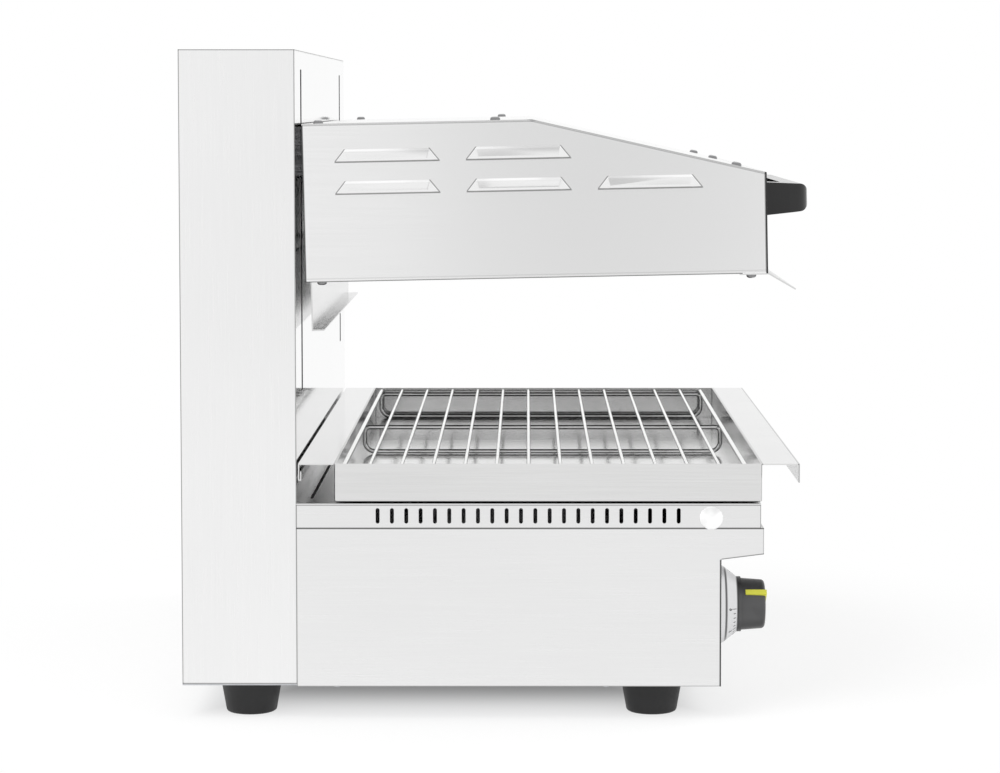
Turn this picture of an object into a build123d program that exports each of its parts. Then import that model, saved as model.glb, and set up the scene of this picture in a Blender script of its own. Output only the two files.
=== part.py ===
from build123d import *

import os
from math import atan2, cos, degrees, hypot, radians, sin

# Lift-top salamander grill.  A low base carries a drip tray with a wire rack, a tall
# column stands at its rear, and a heated head slides up and down two rods inside the
# column, balanced by a counterweight on two cables.
#
# +X is the user's right, the front faces -Y and the feet stand on Z = 0.  Depths are
# counted forward from the column's rear face.

os.makedirs("parts", exist_ok=True)

# ------------------------------------------------------------------ gauges and fits
PANEL = 1.2                # stainless sheet of the casings
TRAY_SHEET = 1.0           # drip tray
REFLECTOR_SHEET = 0.8      # mirror pan over the elements
BRACKET = 3.0              # bent steel brackets
RUNNING_FIT = 0.05         # radial air around a shaft that turns or slides
HOLE_FIT = 0.1             # radial air around a fixed screw or pin
SLIDE_AIR = 0.2            # air between pieces that slide past each other
SCREW_LENGTH = 7.0         # shanks of the casing screws
SCREW_DOME = 0.34          # height of a screw head over its diameter
REST_AIR = 0.3             # air under a rounded piece that only rests

# ------------------------------------------------------------------ column
REAR_Y = 246.0             # world Y of the column's rear face
COLUMN_INSET = 4.5         # from the base's side faces
COLUMN_DEPTH = 91.0
COLUMN_HEIGHT = 502.0      # above the feet
SLOT_INSET = 62.0          # lift arms and their slots, from the column's side faces
SLOT_WIDTH = 12.0
SLOT_BOTTOM = 83.5         # above the base's top plate
BACK_SLOT = 48.0           # ventilation slots of the back panel
BACK_SLOT_WIDTH = 5.0
BACK_SLOT_PITCH = 60.0
BACK_ROW_PITCH = 14.0
BACK_UPPER = 60.0          # middle of the upper rows, below the column's top
BACK_LOWER = 45.0          # middle of the lower rows, above the column's foot
BACK_LOWER_X = -70.0
BACK_SCREW_INSET = 24.0
COLUMN_FLANGE = 32.0
BACK_SCREW_END = 25.0
SLOT_TOP = 15.0            # below the column's top

# ------------------------------------------------------------------ base
FOOT_HEIGHT = 28.0
FOOT_TOP_D = 50.0
FOOT_BOTTOM_D = 40.0
FOOT_INSET = 43.5          # from the base's side faces
FOOT_DEPTHS = (51.0, 373.0)
BASE_WIDTH = 597.0
BASE_HEIGHT = 126.0        # side panels
PANEL_DEPTH = 426.0        # control panel's face
LIP_REACH = 33.4           # overhang above the controls
LIP_HEIGHT = 20.8          # its upright face
LIP_RISE = 4.2             # slope of its underside
FLANGE = 18.0              # return flanges of the casings
VENT_REACH = 366.0         # vent band, forward of the column
VENT_HEIGHT = 19.5
VENT_SLOTS = 22
VENT_PITCH = 11.29
VENT_SLOT_WIDTH = 3.1
VENT_SLOT_HEIGHT = 12.2
VENT_FIRST = 64.1          # first slot, forward of the column
PLUG_D = 18.6
PLUG_HEAD = 1.5
PLUG_INSET = 39.0          # behind the band's front
RIB_HEIGHT = 0.9           # pressed runners under the tray
RIB_WIDTH = 14.0
RIB_INSET = 98.5
BASE_SCREW_DEPTHS = (122.0, 335.5)
BASE_SCREW_INSET = 10.0
PAN_SLOTS = 17             # cooling slots, in two rows
PAN_SLOT = 60.0
PAN_SLOT_WIDTH = 5.0
PAN_SLOT_PITCH = 20.0
PAN_ROW_PITCH = 90.0
DRAIN_SLIT = 2.4           # behind the tray
DRAIN_MARGIN = 30.0

# ------------------------------------------------------------------ tray and rack
TRAY_INSET = 1.5           # from the base's side faces
TRAY_REAR = 30.0           # forward of the column
TRAY_LENGTH = 337.0
TRAY_DEPTH = 30.2          # wall height
TRAY_CORNER = 1.8
FRONT_WING = 29.6
FRONT_LIP = 15.0
REAR_WING = 28.5
REAR_LIP = 13.4
HEM = 2.6                  # outer thickness of the rear lip's hem
RACK_RODS = 12
RACK_PITCH = 25.08
RACK_ROD_D = 2.8
RACK_FRAME_D = 4.0
RACK_INSET = 4.0           # from the tray's side faces
RACK_SPAN = 316.9          # between the two side rods
RACK_REAR = 7.1            # rear side rod, forward of the tray's rear wall
LOOP_HEIGHT = 21.7         # wire centre to wire centre
LOOP_INSET = 8.0           # outer loops, from the rods' ends
LOOP_CORNER = 9.0
RACK_WELD = 0.4            # depth that crossing wires are welded into each other

# ------------------------------------------------------------------ controls
KNOB_INSET = 61.5          # from the base's side faces
KNOB_HEIGHT = 83.0
KNOB_D = 42.0
KNOB_TIP_D = 39.0
KNOB_COLLAR_D = 44.5
KNOB_COLLAR = 2.9
KNOB_LENGTH = 38.9         # front of the knob, ahead of the control panel
KNOB_EDGE = 3.0
BEZEL_D = 66.0
BEZEL_HEIGHT = 16.3
BEZEL_WALL = 1.2
MARK_WIDTH = 4.3
MARK_PROUD = 0.8
MARK_DEEP = 2.0
MARK_ANGLE = 144.0         # pointer at rest, from +X, seen from the front
SPINDLE_D = 6.0
SPINDLE_IN = 18.0          # reach into the regulator
REGULATOR = 44.0
REGULATOR_DEPTH = 36.0
LAMP_PITCH = 87.0          # lamps, inside the knobs
LAMP_D = 14.0
LAMP_DOME = 5.0
LAMP_BODY = 24.0
LAMP_RIM = 1.0

# ------------------------------------------------------------------ head
HEAD_LIFT = 146.4          # underside above the tray rim at rest
HEAD_GAP = 6.5             # rear panel ahead of the column
HEAD_INSET = 3.5           # from the base's side faces
HEAD_LENGTH = 363.2
HEAD_HEIGHT = 124.3
HEAD_FLAT = 180.5          # level part of the roof
HEAD_NOSE = 79.3           # height of the front face
HEAD_TILT = 1.15           # nose-up set of the head on its arms, degrees
HEAD_FLANGE = 30.0
LOUVRE_LENGTH = 82.0
LOUVRE_HEIGHT = 10.0
LOUVRE_PROUD = 5.0
LOUVRE_WALL = 0.9
LOUVRE_SLANT = 8.0         # ends, at the panel and again at the proud face
LOUVRE_LIP = 2.5           # height of the proud face
LOUVRE_FIRST = 25.3        # forward of the head's rear
LOUVRE_PITCH = 102.8
LOUVRE_UPPER = 93.8        # sill above the head's underside
LOUVRE_LOWER = 68.8
SPLASH_DROP = 43.8         # rear splash plate below the underside
SPLASH_LAP = 20.0
SPLASH_LIP = 9.0
DEFLECTOR_FLANGE = 22.8
DEFLECTOR_LIP = 24.7
DEFLECTOR_ANGLE = 31.0
DEFLECTOR_INSET = 5.0      # from the head's side faces
REFLECTOR_INSET = 23.0     # from the head's side faces
REFLECTOR_HEIGHT = 40.0
INSULATION = 27.0
ELEMENT_D = 8.0
ELEMENT_LEGS = 6
ELEMENT_PITCH = 50.0
ELEMENT_HEIGHT = 21.0      # above the head's underside
ELEMENT_INNER = 14.0       # apex of the hairpins from the middle
BEAD_D = 12.0
BEAD_LENGTH = 18.0
HANGER_NEAR = 62.0         # element hangers, from the middle
HANGER_INSET = 60.0        # and from the reflector's ends
HANGER_WALL = 1.5
GUARD_RODS = 13
GUARD_ROD_D = 2.5
GUARD_FRAME_D = 3.0
HANDLE_WIDTH = 300.0
HANDLE_REACH = 47.0
HANDLE_GRIP = 21.0
HANDLE_POST = 24.0
HANDLE_BOTTOM = 38.6       # above the head's underside
HANDLE_ROOT = 29.4
HANDLE_NOSE = 12.0
HANDLE_ROUND = 7.0
ROOF_SCREW_D = 8.0
ROOF_SCREW_DEPTHS = (12.5, 151.5)   # forward of the head's rear
SLOPE_SCREW = 164.5        # down the slope from the fold
UNDER_SCREW_INSET = 12.5
SCREW_EDGE = 10.0          # from the head's side faces

# ------------------------------------------------------------------ lift
TRAVEL_DOWN = 95.0
TRAVEL_UP = 38.0
ROD_D = 16.0
ROD_INSET = 94.0           # from the column's side faces
ROD_DEPTH = 58.0
ROD_END = 5.0              # past the brackets
CARRIAGE_PLATE = 4.0
CARRIAGE_INSET = 52.0
CARRIAGE_SLOT = 70.0       # lightening slots
CARRIAGE_SLOT_HEIGHT = 34.0
CARRIAGE_SLOT_PITCH = 150.0
CARRIAGE_HEIGHT = 110.0
CARRIAGE_DROP = 3.5        # top, below the head's top
BUSH_WALL = 3.0
BUSH_LENGTH = 30.0
HOUSING = 36.0
ARM_WALL = 6.0
ARM_HEIGHT = 39.0
ARM_DROP = 6.5             # top, below the head's top
ARM_REACH = 127.0          # into the head
CROSSBAR = 30.0
CROSSBAR_WALL = 2.0
BUFFER_LENGTH = 12.0
BUFFER_D = 28.0
BUFFER_UPPER = 5.5
PULLEY_X = 120.0
PULLEY_R = 17.0            # to the cable's centre
PULLEY_RIM = 3.0           # rim above the cable's centre
PULLEY_WIDTH = 10.0
PULLEY_DROP = 33.0         # axle below the column's top
AXLE_D = 8.0
CHEEK = 2.0
CABLE_D = 3.0
LUG = 16.0
LUG_HEIGHT = 12.0
WEIGHT_WIDTH = 420.0
WEIGHT_THICK = 24.0
WEIGHT_HEIGHT = 140.0
CABLE_DROP = 167.0         # rear run, from the axle to the weight

# ------------------------------------------------------------------ supply
GLAND_INSET = 114.0        # from the column's side faces
GLAND_HEIGHT = 60.0
GLAND_BORE_D = 9.0
GLAND_THREAD_D = 20.0
GLAND_HEX = 24.0
GLAND_HEX_LENGTH = 5.0
GLAND_CAP_D = 21.0
GLAND_CAP_LENGTH = 9.0
GLAND_INSIDE = 10.0
GLAND_NUT = 5.0
BLOCK_WIDTH = 66.0         # terminal block
BLOCK_DEPTH = 30.0
BLOCK_HEIGHT = 24.0
BLOCK_OFFSET = 60.0        # inside the gland
BLOCK_REAR = 45.0          # its middle, forward of the column's rear
BLOCK_WAY = 12.0           # pitch of its screw wells
BLOCK_WELL_D = 6.0
BLOCK_WELL = 7.0

# ------------------------------------------------------------------ derived places
BASE_HALF = BASE_WIDTH / 2
COLUMN_HALF = BASE_HALF - COLUMN_INSET
HEAD_HALF = BASE_HALF - HEAD_INSET
TRAY_HALF = BASE_HALF - TRAY_INSET
RACK_HALF = TRAY_HALF - RACK_INSET
LOOP_XS = (LOOP_INSET - RACK_HALF, 0, RACK_HALF - LOOP_INSET)
FOOT_X = BASE_HALF - FOOT_INSET
RIB_X = BASE_HALF - RIB_INSET
KNOB_X = BASE_HALF - KNOB_INSET
LAMP_X = KNOB_X - LAMP_PITCH
SLOT_X = COLUMN_HALF - SLOT_INSET
ROD_X = COLUMN_HALF - ROD_INSET
CARRIAGE_HALF = COLUMN_HALF - CARRIAGE_INSET
GLAND_X = COLUMN_HALF - GLAND_INSET
DEFLECTOR_HALF = HEAD_HALF - DEFLECTOR_INSET
REFLECTOR_HALF = HEAD_HALF - REFLECTOR_INSET
HANGER_XS = (HANGER_NEAR, REFLECTOR_HALF - HANGER_INSET)
BASE_BOTTOM = FOOT_HEIGHT
COLUMN_FOOT = BASE_BOTTOM + PANEL
COLUMN_TOP = BASE_BOTTOM + COLUMN_HEIGHT
BASE_TOP = BASE_BOTTOM + BASE_HEIGHT
LIP_DEPTH = PANEL_DEPTH + LIP_REACH
VENT_DEPTH = COLUMN_DEPTH + VENT_REACH
VENT_TOP = BASE_TOP + VENT_HEIGHT
SLOT_LOW = VENT_TOP + SLOT_BOTTOM
SLOT_HIGH = COLUMN_TOP - SLOT_TOP
TRAY_BOTTOM = VENT_TOP + RIB_HEIGHT + SLIDE_AIR
TRAY_RIM = TRAY_BOTTOM + TRAY_DEPTH
TRAY_BACK = COLUMN_DEPTH + TRAY_REAR
TRAY_FRONT = TRAY_BACK + TRAY_LENGTH
HEAD_BOTTOM = TRAY_RIM + HEAD_LIFT
HEAD_TOP = HEAD_BOTTOM + HEAD_HEIGHT
HEAD_REAR = COLUMN_DEPTH + HEAD_GAP
HEAD_FRONT = HEAD_REAR + HEAD_LENGTH
HEAD_FOLD = HEAD_REAR + HEAD_FLAT
HEAD_NOSE_TOP = HEAD_BOTTOM + HEAD_NOSE
SLOPE = degrees(atan2(HEAD_TOP - HEAD_NOSE_TOP, HEAD_FRONT - HEAD_FOLD))
CARRIAGE_TOP = HEAD_TOP - CARRIAGE_DROP
CARRIAGE_BOTTOM = CARRIAGE_TOP - CARRIAGE_HEIGHT
CARRIAGE_DEPTH = ROD_DEPTH + ROD_D / 2 + BUSH_WALL + 1.0     # rear face of its plate
ARM_TOP = HEAD_TOP - ARM_DROP
LOWER_STOP = CARRIAGE_BOTTOM - TRAVEL_DOWN - SLIDE_AIR
UPPER_STOP = CARRIAGE_TOP + TRAVEL_UP + SLIDE_AIR
AXLE_Z = COLUMN_TOP - PULLEY_DROP
AXLE_DEPTH = ROD_DEPTH - PULLEY_R
WEIGHT_DEPTH = AXLE_DEPTH - PULLEY_R
WEIGHT_TOP = AXLE_Z - CABLE_DROP
REFLECTOR_BOTTOM = HEAD_BOTTOM + PANEL
REFLECTOR_TOP = REFLECTOR_BOTTOM + REFLECTOR_HEIGHT
ELEMENT_Z = HEAD_BOTTOM + ELEMENT_HEIGHT
ELEMENT_MID = (HEAD_REAR + HEAD_FRONT) / 2


# ------------------------------------------------------------------ planes and shapes
def side_plane(x):
    """Plane square to X, facing -X, read as (depth, height)."""
    return Plane(origin=(x, REAR_Y, 0), x_dir=(0, -1, 0), z_dir=(-1, 0, 0))


def front_plane(depth):
    """Plane facing the front, read as (x, height)."""
    return Plane(origin=(0, REAR_Y - depth, 0), x_dir=(1, 0, 0), z_dir=(0, -1, 0))


def level_plane(height):
    """Plane facing up, read as (x, minus the depth)."""
    return Plane(origin=(0, REAR_Y, height), x_dir=(1, 0, 0), z_dir=(0, 0, 1))


HEAD_PIVOT = Location((0, REAR_Y - ELEMENT_MID, (HEAD_BOTTOM + HEAD_TOP) / 2))
HEAD_LEAN = HEAD_PIVOT * Location((0, 0, 0), (-HEAD_TILT, 0, 0)) * HEAD_PIVOT.inverse()


def tilted(plane):
    """The same plane carried by the head, which stands slightly nose-up."""
    return Plane(HEAD_LEAN * plane.location)


def box_between(low, high, mode=Mode.ADD):
    """Rectangle of the current sketch between two corners."""
    with Locations(((low[0] + high[0]) / 2, (low[1] + high[1]) / 2)):
        Rectangle(high[0] - low[0], high[1] - low[1], mode=mode)


def outline(*points, mode=Mode.ADD):
    """Polygon of the current sketch through the given points."""
    with BuildLine() as perimeter:
        Polyline(*points, close=True)
    make_face(perimeter.edges(), mode=mode)


def inner_line(points, gauge):
    """The line that runs one gauge to the right of a fold line, mitred at its bends."""
    normals = []
    for (x0, y0), (x1, y1) in zip(points, points[1:]):
        length = hypot(x1 - x0, y1 - y0)
        normals.append(((y1 - y0) / length, (x0 - x1) / length))
    inner = [(points[0][0] + gauge * normals[0][0], points[0][1] + gauge * normals[0][1])]
    for (x, y), a, b in zip(points[1:-1], normals, normals[1:]):
        mitre = gauge / (1 + a[0] * b[0] + a[1] * b[1])
        inner.append((x + mitre * (a[0] + b[0]), y + mitre * (a[1] + b[1])))
    x, y = points[-1]
    inner.append((x + gauge * normals[-1][0], y + gauge * normals[-1][1]))
    return inner


def folded(points, gauge):
    """Section of a folded sheet: its face along the points, its gauge to their right."""
    outline(*points, *reversed(inner_line(points, gauge)))


def dome_screw(head_d, shank_d, shank_l):
    """Pan-head screw along Z with the head's seat at the origin, head upwards."""
    head_h = head_d * SCREW_DOME
    with BuildPart() as screw:
        with BuildSketch(Plane.XY):
            Circle(head_d / 2)
        extrude(amount=head_h)
        fillet(screw.faces().sort_by(Axis.Z)[-1].edges(), radius=head_h * 0.8)
        with BuildSketch(Plane.XY):
            Circle(shank_d / 2)
        extrude(amount=-shank_l)
        with BuildSketch(Plane.XY.offset(head_h)):
            Rectangle(head_d * 0.55, head_d * 0.12)
            Rectangle(head_d * 0.12, head_d * 0.55)
        extrude(amount=-head_h * 0.45, mode=Mode.SUBTRACT)
    return screw.part


def at_points(plane, points):
    """Locations on a plane at the given sketch points."""
    return [plane.location * Location((x, y, 0)) for x, y in points]


def finish(builder, name):
    """Label a finished piece and write its file."""
    builder.part.label = name
    export_step(builder.part, f"parts/{name}.step")


# ================================================================== base casing
base_outline = [
    (COLUMN_DEPTH, BASE_BOTTOM),
    (PANEL_DEPTH, BASE_BOTTOM),
    (PANEL_DEPTH, BASE_TOP - LIP_HEIGHT - LIP_RISE),
    (LIP_DEPTH, BASE_TOP - LIP_HEIGHT),
    (LIP_DEPTH, BASE_TOP),
    (COLUMN_DEPTH, BASE_TOP),
]
base_screw_points = [
    (side * (BASE_HALF - BASE_SCREW_INSET), -depth)
    for side in (-1, 1) for depth in BASE_SCREW_DEPTHS
]
foot_points = [(side * FOOT_X, -depth) for side in (-1, 1) for depth in FOOT_DEPTHS]
BASE_SCREW_D = 6.5
BASE_SHANK_D = 3.4
FOOT_BOLT_D = 8.0
LIP_RETURN = 20.0

with BuildPart() as base_side_left:
    with BuildSketch(side_plane(PANEL - BASE_HALF)):
        outline(*base_outline)
    extrude(amount=PANEL)
    # return flanges: on the pan, under the vent band and against the column's face
    with BuildSketch(side_plane(PANEL - BASE_HALF)):
        box_between((COLUMN_DEPTH, BASE_BOTTOM + PANEL), (PANEL_DEPTH - PANEL, BASE_BOTTOM + 2 * PANEL))
        box_between((COLUMN_DEPTH, BASE_TOP - PANEL), (LIP_DEPTH - LIP_RETURN, BASE_TOP))
        box_between((COLUMN_DEPTH, BASE_BOTTOM + 2 * PANEL), (COLUMN_DEPTH + PANEL, BASE_TOP - PANEL))
    extrude(amount=-FLANGE)
    with BuildSketch(level_plane(BASE_BOTTOM)):
        with Locations(*base_screw_points):
            Circle(BASE_SHANK_D / 2 + HOLE_FIT)
    extrude(amount=4 * PANEL, mode=Mode.SUBTRACT)
finish(base_side_left, "base_side_left")

with BuildPart() as base_side_right:
    mirror(base_side_left.part, about=Plane.YZ)
finish(base_side_right, "base_side_right")

with BuildPart() as base_pan:
    with BuildSketch(level_plane(BASE_BOTTOM)):
        box_between((-COLUMN_HALF, -COLUMN_DEPTH), (COLUMN_HALF, 0))
        box_between((PANEL - BASE_HALF, PANEL - PANEL_DEPTH), (BASE_HALF - PANEL, -COLUMN_DEPTH))
        with Locations(*base_screw_points):
            Circle(BASE_SHANK_D / 2 + HOLE_FIT, mode=Mode.SUBTRACT)
        with Locations(*foot_points):
            Circle(FOOT_BOLT_D / 2 + HOLE_FIT, mode=Mode.SUBTRACT)
        # cooling slots under the regulators
        with Locations((0, -(COLUMN_DEPTH + PANEL_DEPTH) / 2)):
            with GridLocations(PAN_SLOT_PITCH, PAN_ROW_PITCH, PAN_SLOTS, 2):
                SlotOverall(PAN_SLOT, PAN_SLOT_WIDTH, rotation=90, mode=Mode.SUBTRACT)
    extrude(amount=PANEL)
finish(base_pan, "base_pan")

with BuildPart() as control_panel:
    with BuildSketch(side_plane(0)):
        folded(
            [
                (LIP_DEPTH - LIP_RETURN, BASE_TOP),
                (LIP_DEPTH, BASE_TOP),
                (LIP_DEPTH, BASE_TOP - LIP_HEIGHT),
                (PANEL_DEPTH, BASE_TOP - LIP_HEIGHT - LIP_RISE),
                (PANEL_DEPTH, BASE_BOTTOM),
            ],
            PANEL,
        )
    extrude(amount=BASE_HALF - PANEL, both=True)
    with BuildSketch(front_plane(PANEL_DEPTH)):
        with Locations((-KNOB_X, KNOB_HEIGHT), (KNOB_X, KNOB_HEIGHT)):
            Circle(SPINDLE_D / 2 + 1.5)
        with Locations((-LAMP_X, KNOB_HEIGHT), (LAMP_X, KNOB_HEIGHT)):
            Circle(LAMP_D / 2 - LAMP_RIM)
    extrude(amount=-2 * PANEL, mode=Mode.SUBTRACT)
finish(control_panel, "control_panel")

PLUG_STEM_D = PLUG_D - 3.0
plug_point = (VENT_DEPTH - PLUG_INSET, BASE_TOP + 0.42 * VENT_HEIGHT)
vent_slot_mid = (
    COLUMN_DEPTH + VENT_FIRST + VENT_PITCH * (VENT_SLOTS - 1) / 2,
    BASE_TOP + VENT_HEIGHT / 2,
)

with BuildPart() as vent_band:
    with BuildSketch(level_plane(BASE_TOP)):
        box_between((-BASE_HALF, -VENT_DEPTH), (BASE_HALF, -COLUMN_DEPTH))
        box_between(
            (PANEL - BASE_HALF, PANEL - VENT_DEPTH), (BASE_HALF - PANEL, -COLUMN_DEPTH), Mode.SUBTRACT
        )
    extrude(amount=VENT_HEIGHT - PANEL)
    with BuildSketch(side_plane(BASE_HALF)):
        with Locations(vent_slot_mid):
            with GridLocations(VENT_PITCH, 1, VENT_SLOTS, 1):
                SlotOverall(VENT_SLOT_HEIGHT, VENT_SLOT_WIDTH, rotation=90)
        with Locations(plug_point):
            Circle(PLUG_STEM_D / 2 + HOLE_FIT)
    extrude(amount=2 * BASE_HALF, mode=Mode.SUBTRACT)
finish(vent_band, "vent_band")

with BuildPart() as hole_plugs:
    with BuildSketch(side_plane(-BASE_HALF)):
        with Locations(plug_point):
            Circle(PLUG_D / 2)
    extrude(amount=PLUG_HEAD)
    fillet(hole_plugs.faces().sort_by(Axis.X)[0].edges(), radius=PLUG_HEAD * 0.6)
    with BuildSketch(side_plane(-BASE_HALF)):
        with Locations(plug_point):
            Circle(PLUG_STEM_D / 2)
    extrude(amount=-4 * PANEL)
    mirror(about=Plane.YZ)
finish(hole_plugs, "hole_plugs")

with BuildPart() as base_top_plate:
    with BuildSketch(level_plane(VENT_TOP - PANEL)):
        box_between((-BASE_HALF, -VENT_DEPTH), (BASE_HALF, -COLUMN_DEPTH))
        # drain slit behind the tray
        with Locations((0, -COLUMN_DEPTH - TRAY_REAR / 3)):
            SlotOverall(2 * (BASE_HALF - DRAIN_MARGIN), DRAIN_SLIT, mode=Mode.SUBTRACT)
    extrude(amount=PANEL)
    # pressed runners that the tray slides on
    with BuildSketch(level_plane(VENT_TOP)):
        with Locations(*[(side * RIB_X, -(TRAY_BACK + VENT_DEPTH) / 2) for side in (-1, 1)]):
            SlotOverall(VENT_DEPTH - TRAY_BACK - 10, RIB_WIDTH, rotation=90)
    extrude(amount=RIB_HEIGHT)
finish(base_top_plate, "base_top_plate")

# ------------------------------------------------------------------ feet and base screws
FOOT_RECESS = 10.0
FOOT_RECESS_D = 17.0
BOLT_HEAD = 5.3
NUT_HEIGHT = 6.5
NUT_ACROSS = 13.0

with BuildPart() as rubber_feet:
    with BuildSketch(level_plane(0)):
        with Locations(*foot_points):
            Circle(FOOT_BOTTOM_D / 2)
    extrude(amount=FOOT_HEIGHT, taper=-degrees(atan2((FOOT_TOP_D - FOOT_BOTTOM_D) / 2, FOOT_HEIGHT)))
    chamfer(rubber_feet.faces().group_by(Axis.Z)[0].edges(), length=1.2)
    with BuildSketch(level_plane(0)):
        with Locations(*foot_points):
            Circle(FOOT_RECESS_D / 2)
    extrude(amount=FOOT_RECESS, mode=Mode.SUBTRACT)
    with BuildSketch(level_plane(0)):
        with Locations(*foot_points):
            Circle(FOOT_BOLT_D / 2 + HOLE_FIT)
    extrude(amount=FOOT_HEIGHT, mode=Mode.SUBTRACT)
finish(rubber_feet, "rubber_feet")

with BuildPart() as foot_bolts:
    with BuildSketch(level_plane(FOOT_RECESS - BOLT_HEAD)):
        with Locations(*foot_points):
            RegularPolygon(NUT_ACROSS / 2, 6, major_radius=False)
    extrude(amount=BOLT_HEAD)
    with BuildSketch(level_plane(FOOT_RECESS)):
        with Locations(*foot_points):
            Circle(FOOT_BOLT_D / 2)
    extrude(amount=FOOT_HEIGHT - FOOT_RECESS + PANEL + NUT_HEIGHT + 2)
    with BuildSketch(level_plane(BASE_BOTTOM + PANEL)):
        with Locations(*foot_points):
            RegularPolygon(NUT_ACROSS / 2, 6, major_radius=False)
    extrude(amount=NUT_HEIGHT)
finish(foot_bolts, "foot_bolts")

base_screw = dome_screw(BASE_SCREW_D, BASE_SHANK_D, SCREW_LENGTH)
with BuildPart() as base_screws:
    for place in at_points(level_plane(BASE_BOTTOM), base_screw_points):
        add(base_screw.moved(place * Location((0, 0, 0), (180, 0, 0))))
finish(base_screws, "base_screws")

# ================================================================== column
GLAND_POINT = (GLAND_X, GLAND_HEIGHT)
back_screw_points = [
    (side * (COLUMN_HALF - BACK_SCREW_INSET), height)
    for side in (-1, 1)
    for height in (COLUMN_FOOT + BACK_SCREW_END, (COLUMN_FOOT + COLUMN_TOP) / 2, COLUMN_TOP - BACK_SCREW_END)
]
COLUMN_SCREW_D = 7.5
COLUMN_SHANK_D = 3.9

with BuildPart() as column_cover:
    with BuildSketch(front_plane(0)):
        box_between((-COLUMN_HALF, COLUMN_FOOT), (COLUMN_HALF, COLUMN_TOP))
        box_between(
            (PANEL - COLUMN_HALF, COLUMN_FOOT), (COLUMN_HALF - PANEL, COLUMN_TOP - PANEL), Mode.SUBTRACT
        )
    extrude(amount=COLUMN_DEPTH)
    # rear flanges that the back panel is screwed to
    with BuildSketch(front_plane(PANEL)):
        for side in (-1, 1):
            edge, inner = side * (COLUMN_HALF - PANEL), side * (COLUMN_HALF - PANEL - COLUMN_FLANGE)
            box_between((min(edge, inner), COLUMN_FOOT), (max(edge, inner), COLUMN_TOP - PANEL))
    extrude(amount=PANEL)
    with BuildSketch(front_plane(0)):
        with Locations(*back_screw_points):
            Circle(COLUMN_SHANK_D / 2 + HOLE_FIT)
    extrude(amount=3 * PANEL, mode=Mode.SUBTRACT)
finish(column_cover, "column_cover")

slot_mid = (SLOT_LOW + SLOT_HIGH) / 2
with BuildPart() as column_front:
    with BuildSketch(front_plane(COLUMN_DEPTH - PANEL)):
        box_between((PANEL - COLUMN_HALF, BASE_TOP - FLANGE), (COLUMN_HALF - PANEL, COLUMN_TOP - PANEL))
        with Locations((-SLOT_X, slot_mid), (SLOT_X, slot_mid)):
            Rectangle(SLOT_WIDTH, SLOT_HIGH - SLOT_LOW, mode=Mode.SUBTRACT)
    extrude(amount=PANEL)
finish(column_front, "column_front")

with BuildPart() as column_back:
    with BuildSketch(front_plane(0)):
        box_between((PANEL - COLUMN_HALF, COLUMN_FOOT), (COLUMN_HALF - PANEL, COLUMN_TOP - PANEL))
        for middle, columns, rows in (
            ((0, COLUMN_TOP - BACK_UPPER), 7, 4), ((BACK_LOWER_X, COLUMN_FOOT + BACK_LOWER), 5, 3)
        ):
            with Locations(middle):
                with GridLocations(BACK_SLOT_PITCH, BACK_ROW_PITCH, columns, rows):
                    SlotOverall(BACK_SLOT, BACK_SLOT_WIDTH, mode=Mode.SUBTRACT)
        with Locations(GLAND_POINT):
            Circle(GLAND_THREAD_D / 2 + HOLE_FIT, mode=Mode.SUBTRACT)
        with Locations(*back_screw_points):
            Circle(COLUMN_SHANK_D / 2 + HOLE_FIT, mode=Mode.SUBTRACT)
    extrude(amount=PANEL)
finish(column_back, "column_back")

column_screw = dome_screw(COLUMN_SCREW_D, COLUMN_SHANK_D, SCREW_LENGTH)
with BuildPart() as column_screws:
    for place in at_points(front_plane(0), back_screw_points):
        add(column_screw.moved(place * Location((0, 0, 0), (180, 0, 0))))
finish(column_screws, "column_screws")

# ------------------------------------------------------------------ rods, brackets, buffers
BRACKET_DEEP = 28.0
BRACKET_TALL = 40.0
rod_points = [(side * ROD_X, -ROD_DEPTH) for side in (-1, 1)]
LOWER_BRACKET = LOWER_STOP - BUFFER_LENGTH
UPPER_BRACKET = UPPER_STOP + BUFFER_UPPER

with BuildPart() as guide_rods:
    with BuildSketch(level_plane(LOWER_BRACKET - BRACKET - ROD_END)):
        with Locations(*rod_points):
            Circle(ROD_D / 2)
    extrude(amount=UPPER_BRACKET - LOWER_BRACKET + 2 * BRACKET + 2 * ROD_END)
    chamfer(guide_rods.faces().filter_by(Axis.Z).edges(), length=1.0)
finish(guide_rods, "guide_rods")


def guide_bracket(shelf, web_low, web_high):
    """Pair of shelves that hold the guide rods, each bent against the column's side."""
    wall = COLUMN_HALF - PANEL
    with BuildPart() as brackets:
        with BuildSketch(front_plane(ROD_DEPTH - BRACKET_DEEP / 2)):
            box_between((ROD_X - BRACKET_DEEP + 4, shelf), (wall, shelf + BRACKET))
            box_between((wall - BRACKET, web_low), (wall, web_high))
        extrude(amount=BRACKET_DEEP)
        with BuildSketch(level_plane(shelf)):
            with Locations((ROD_X, -ROD_DEPTH)):
                Circle(ROD_D / 2 + RUNNING_FIT)
        extrude(amount=BRACKET, mode=Mode.SUBTRACT)
        mirror(about=Plane.YZ)
    return brackets


guide_brackets_lower = guide_bracket(
    LOWER_BRACKET - BRACKET, LOWER_BRACKET - BRACKET_TALL, LOWER_BRACKET
)
finish(guide_brackets_lower, "guide_brackets_lower")
guide_brackets_upper = guide_bracket(
    UPPER_BRACKET, UPPER_BRACKET + BRACKET - BRACKET_TALL, UPPER_BRACKET + BRACKET
)
finish(guide_brackets_upper, "guide_brackets_upper")

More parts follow.
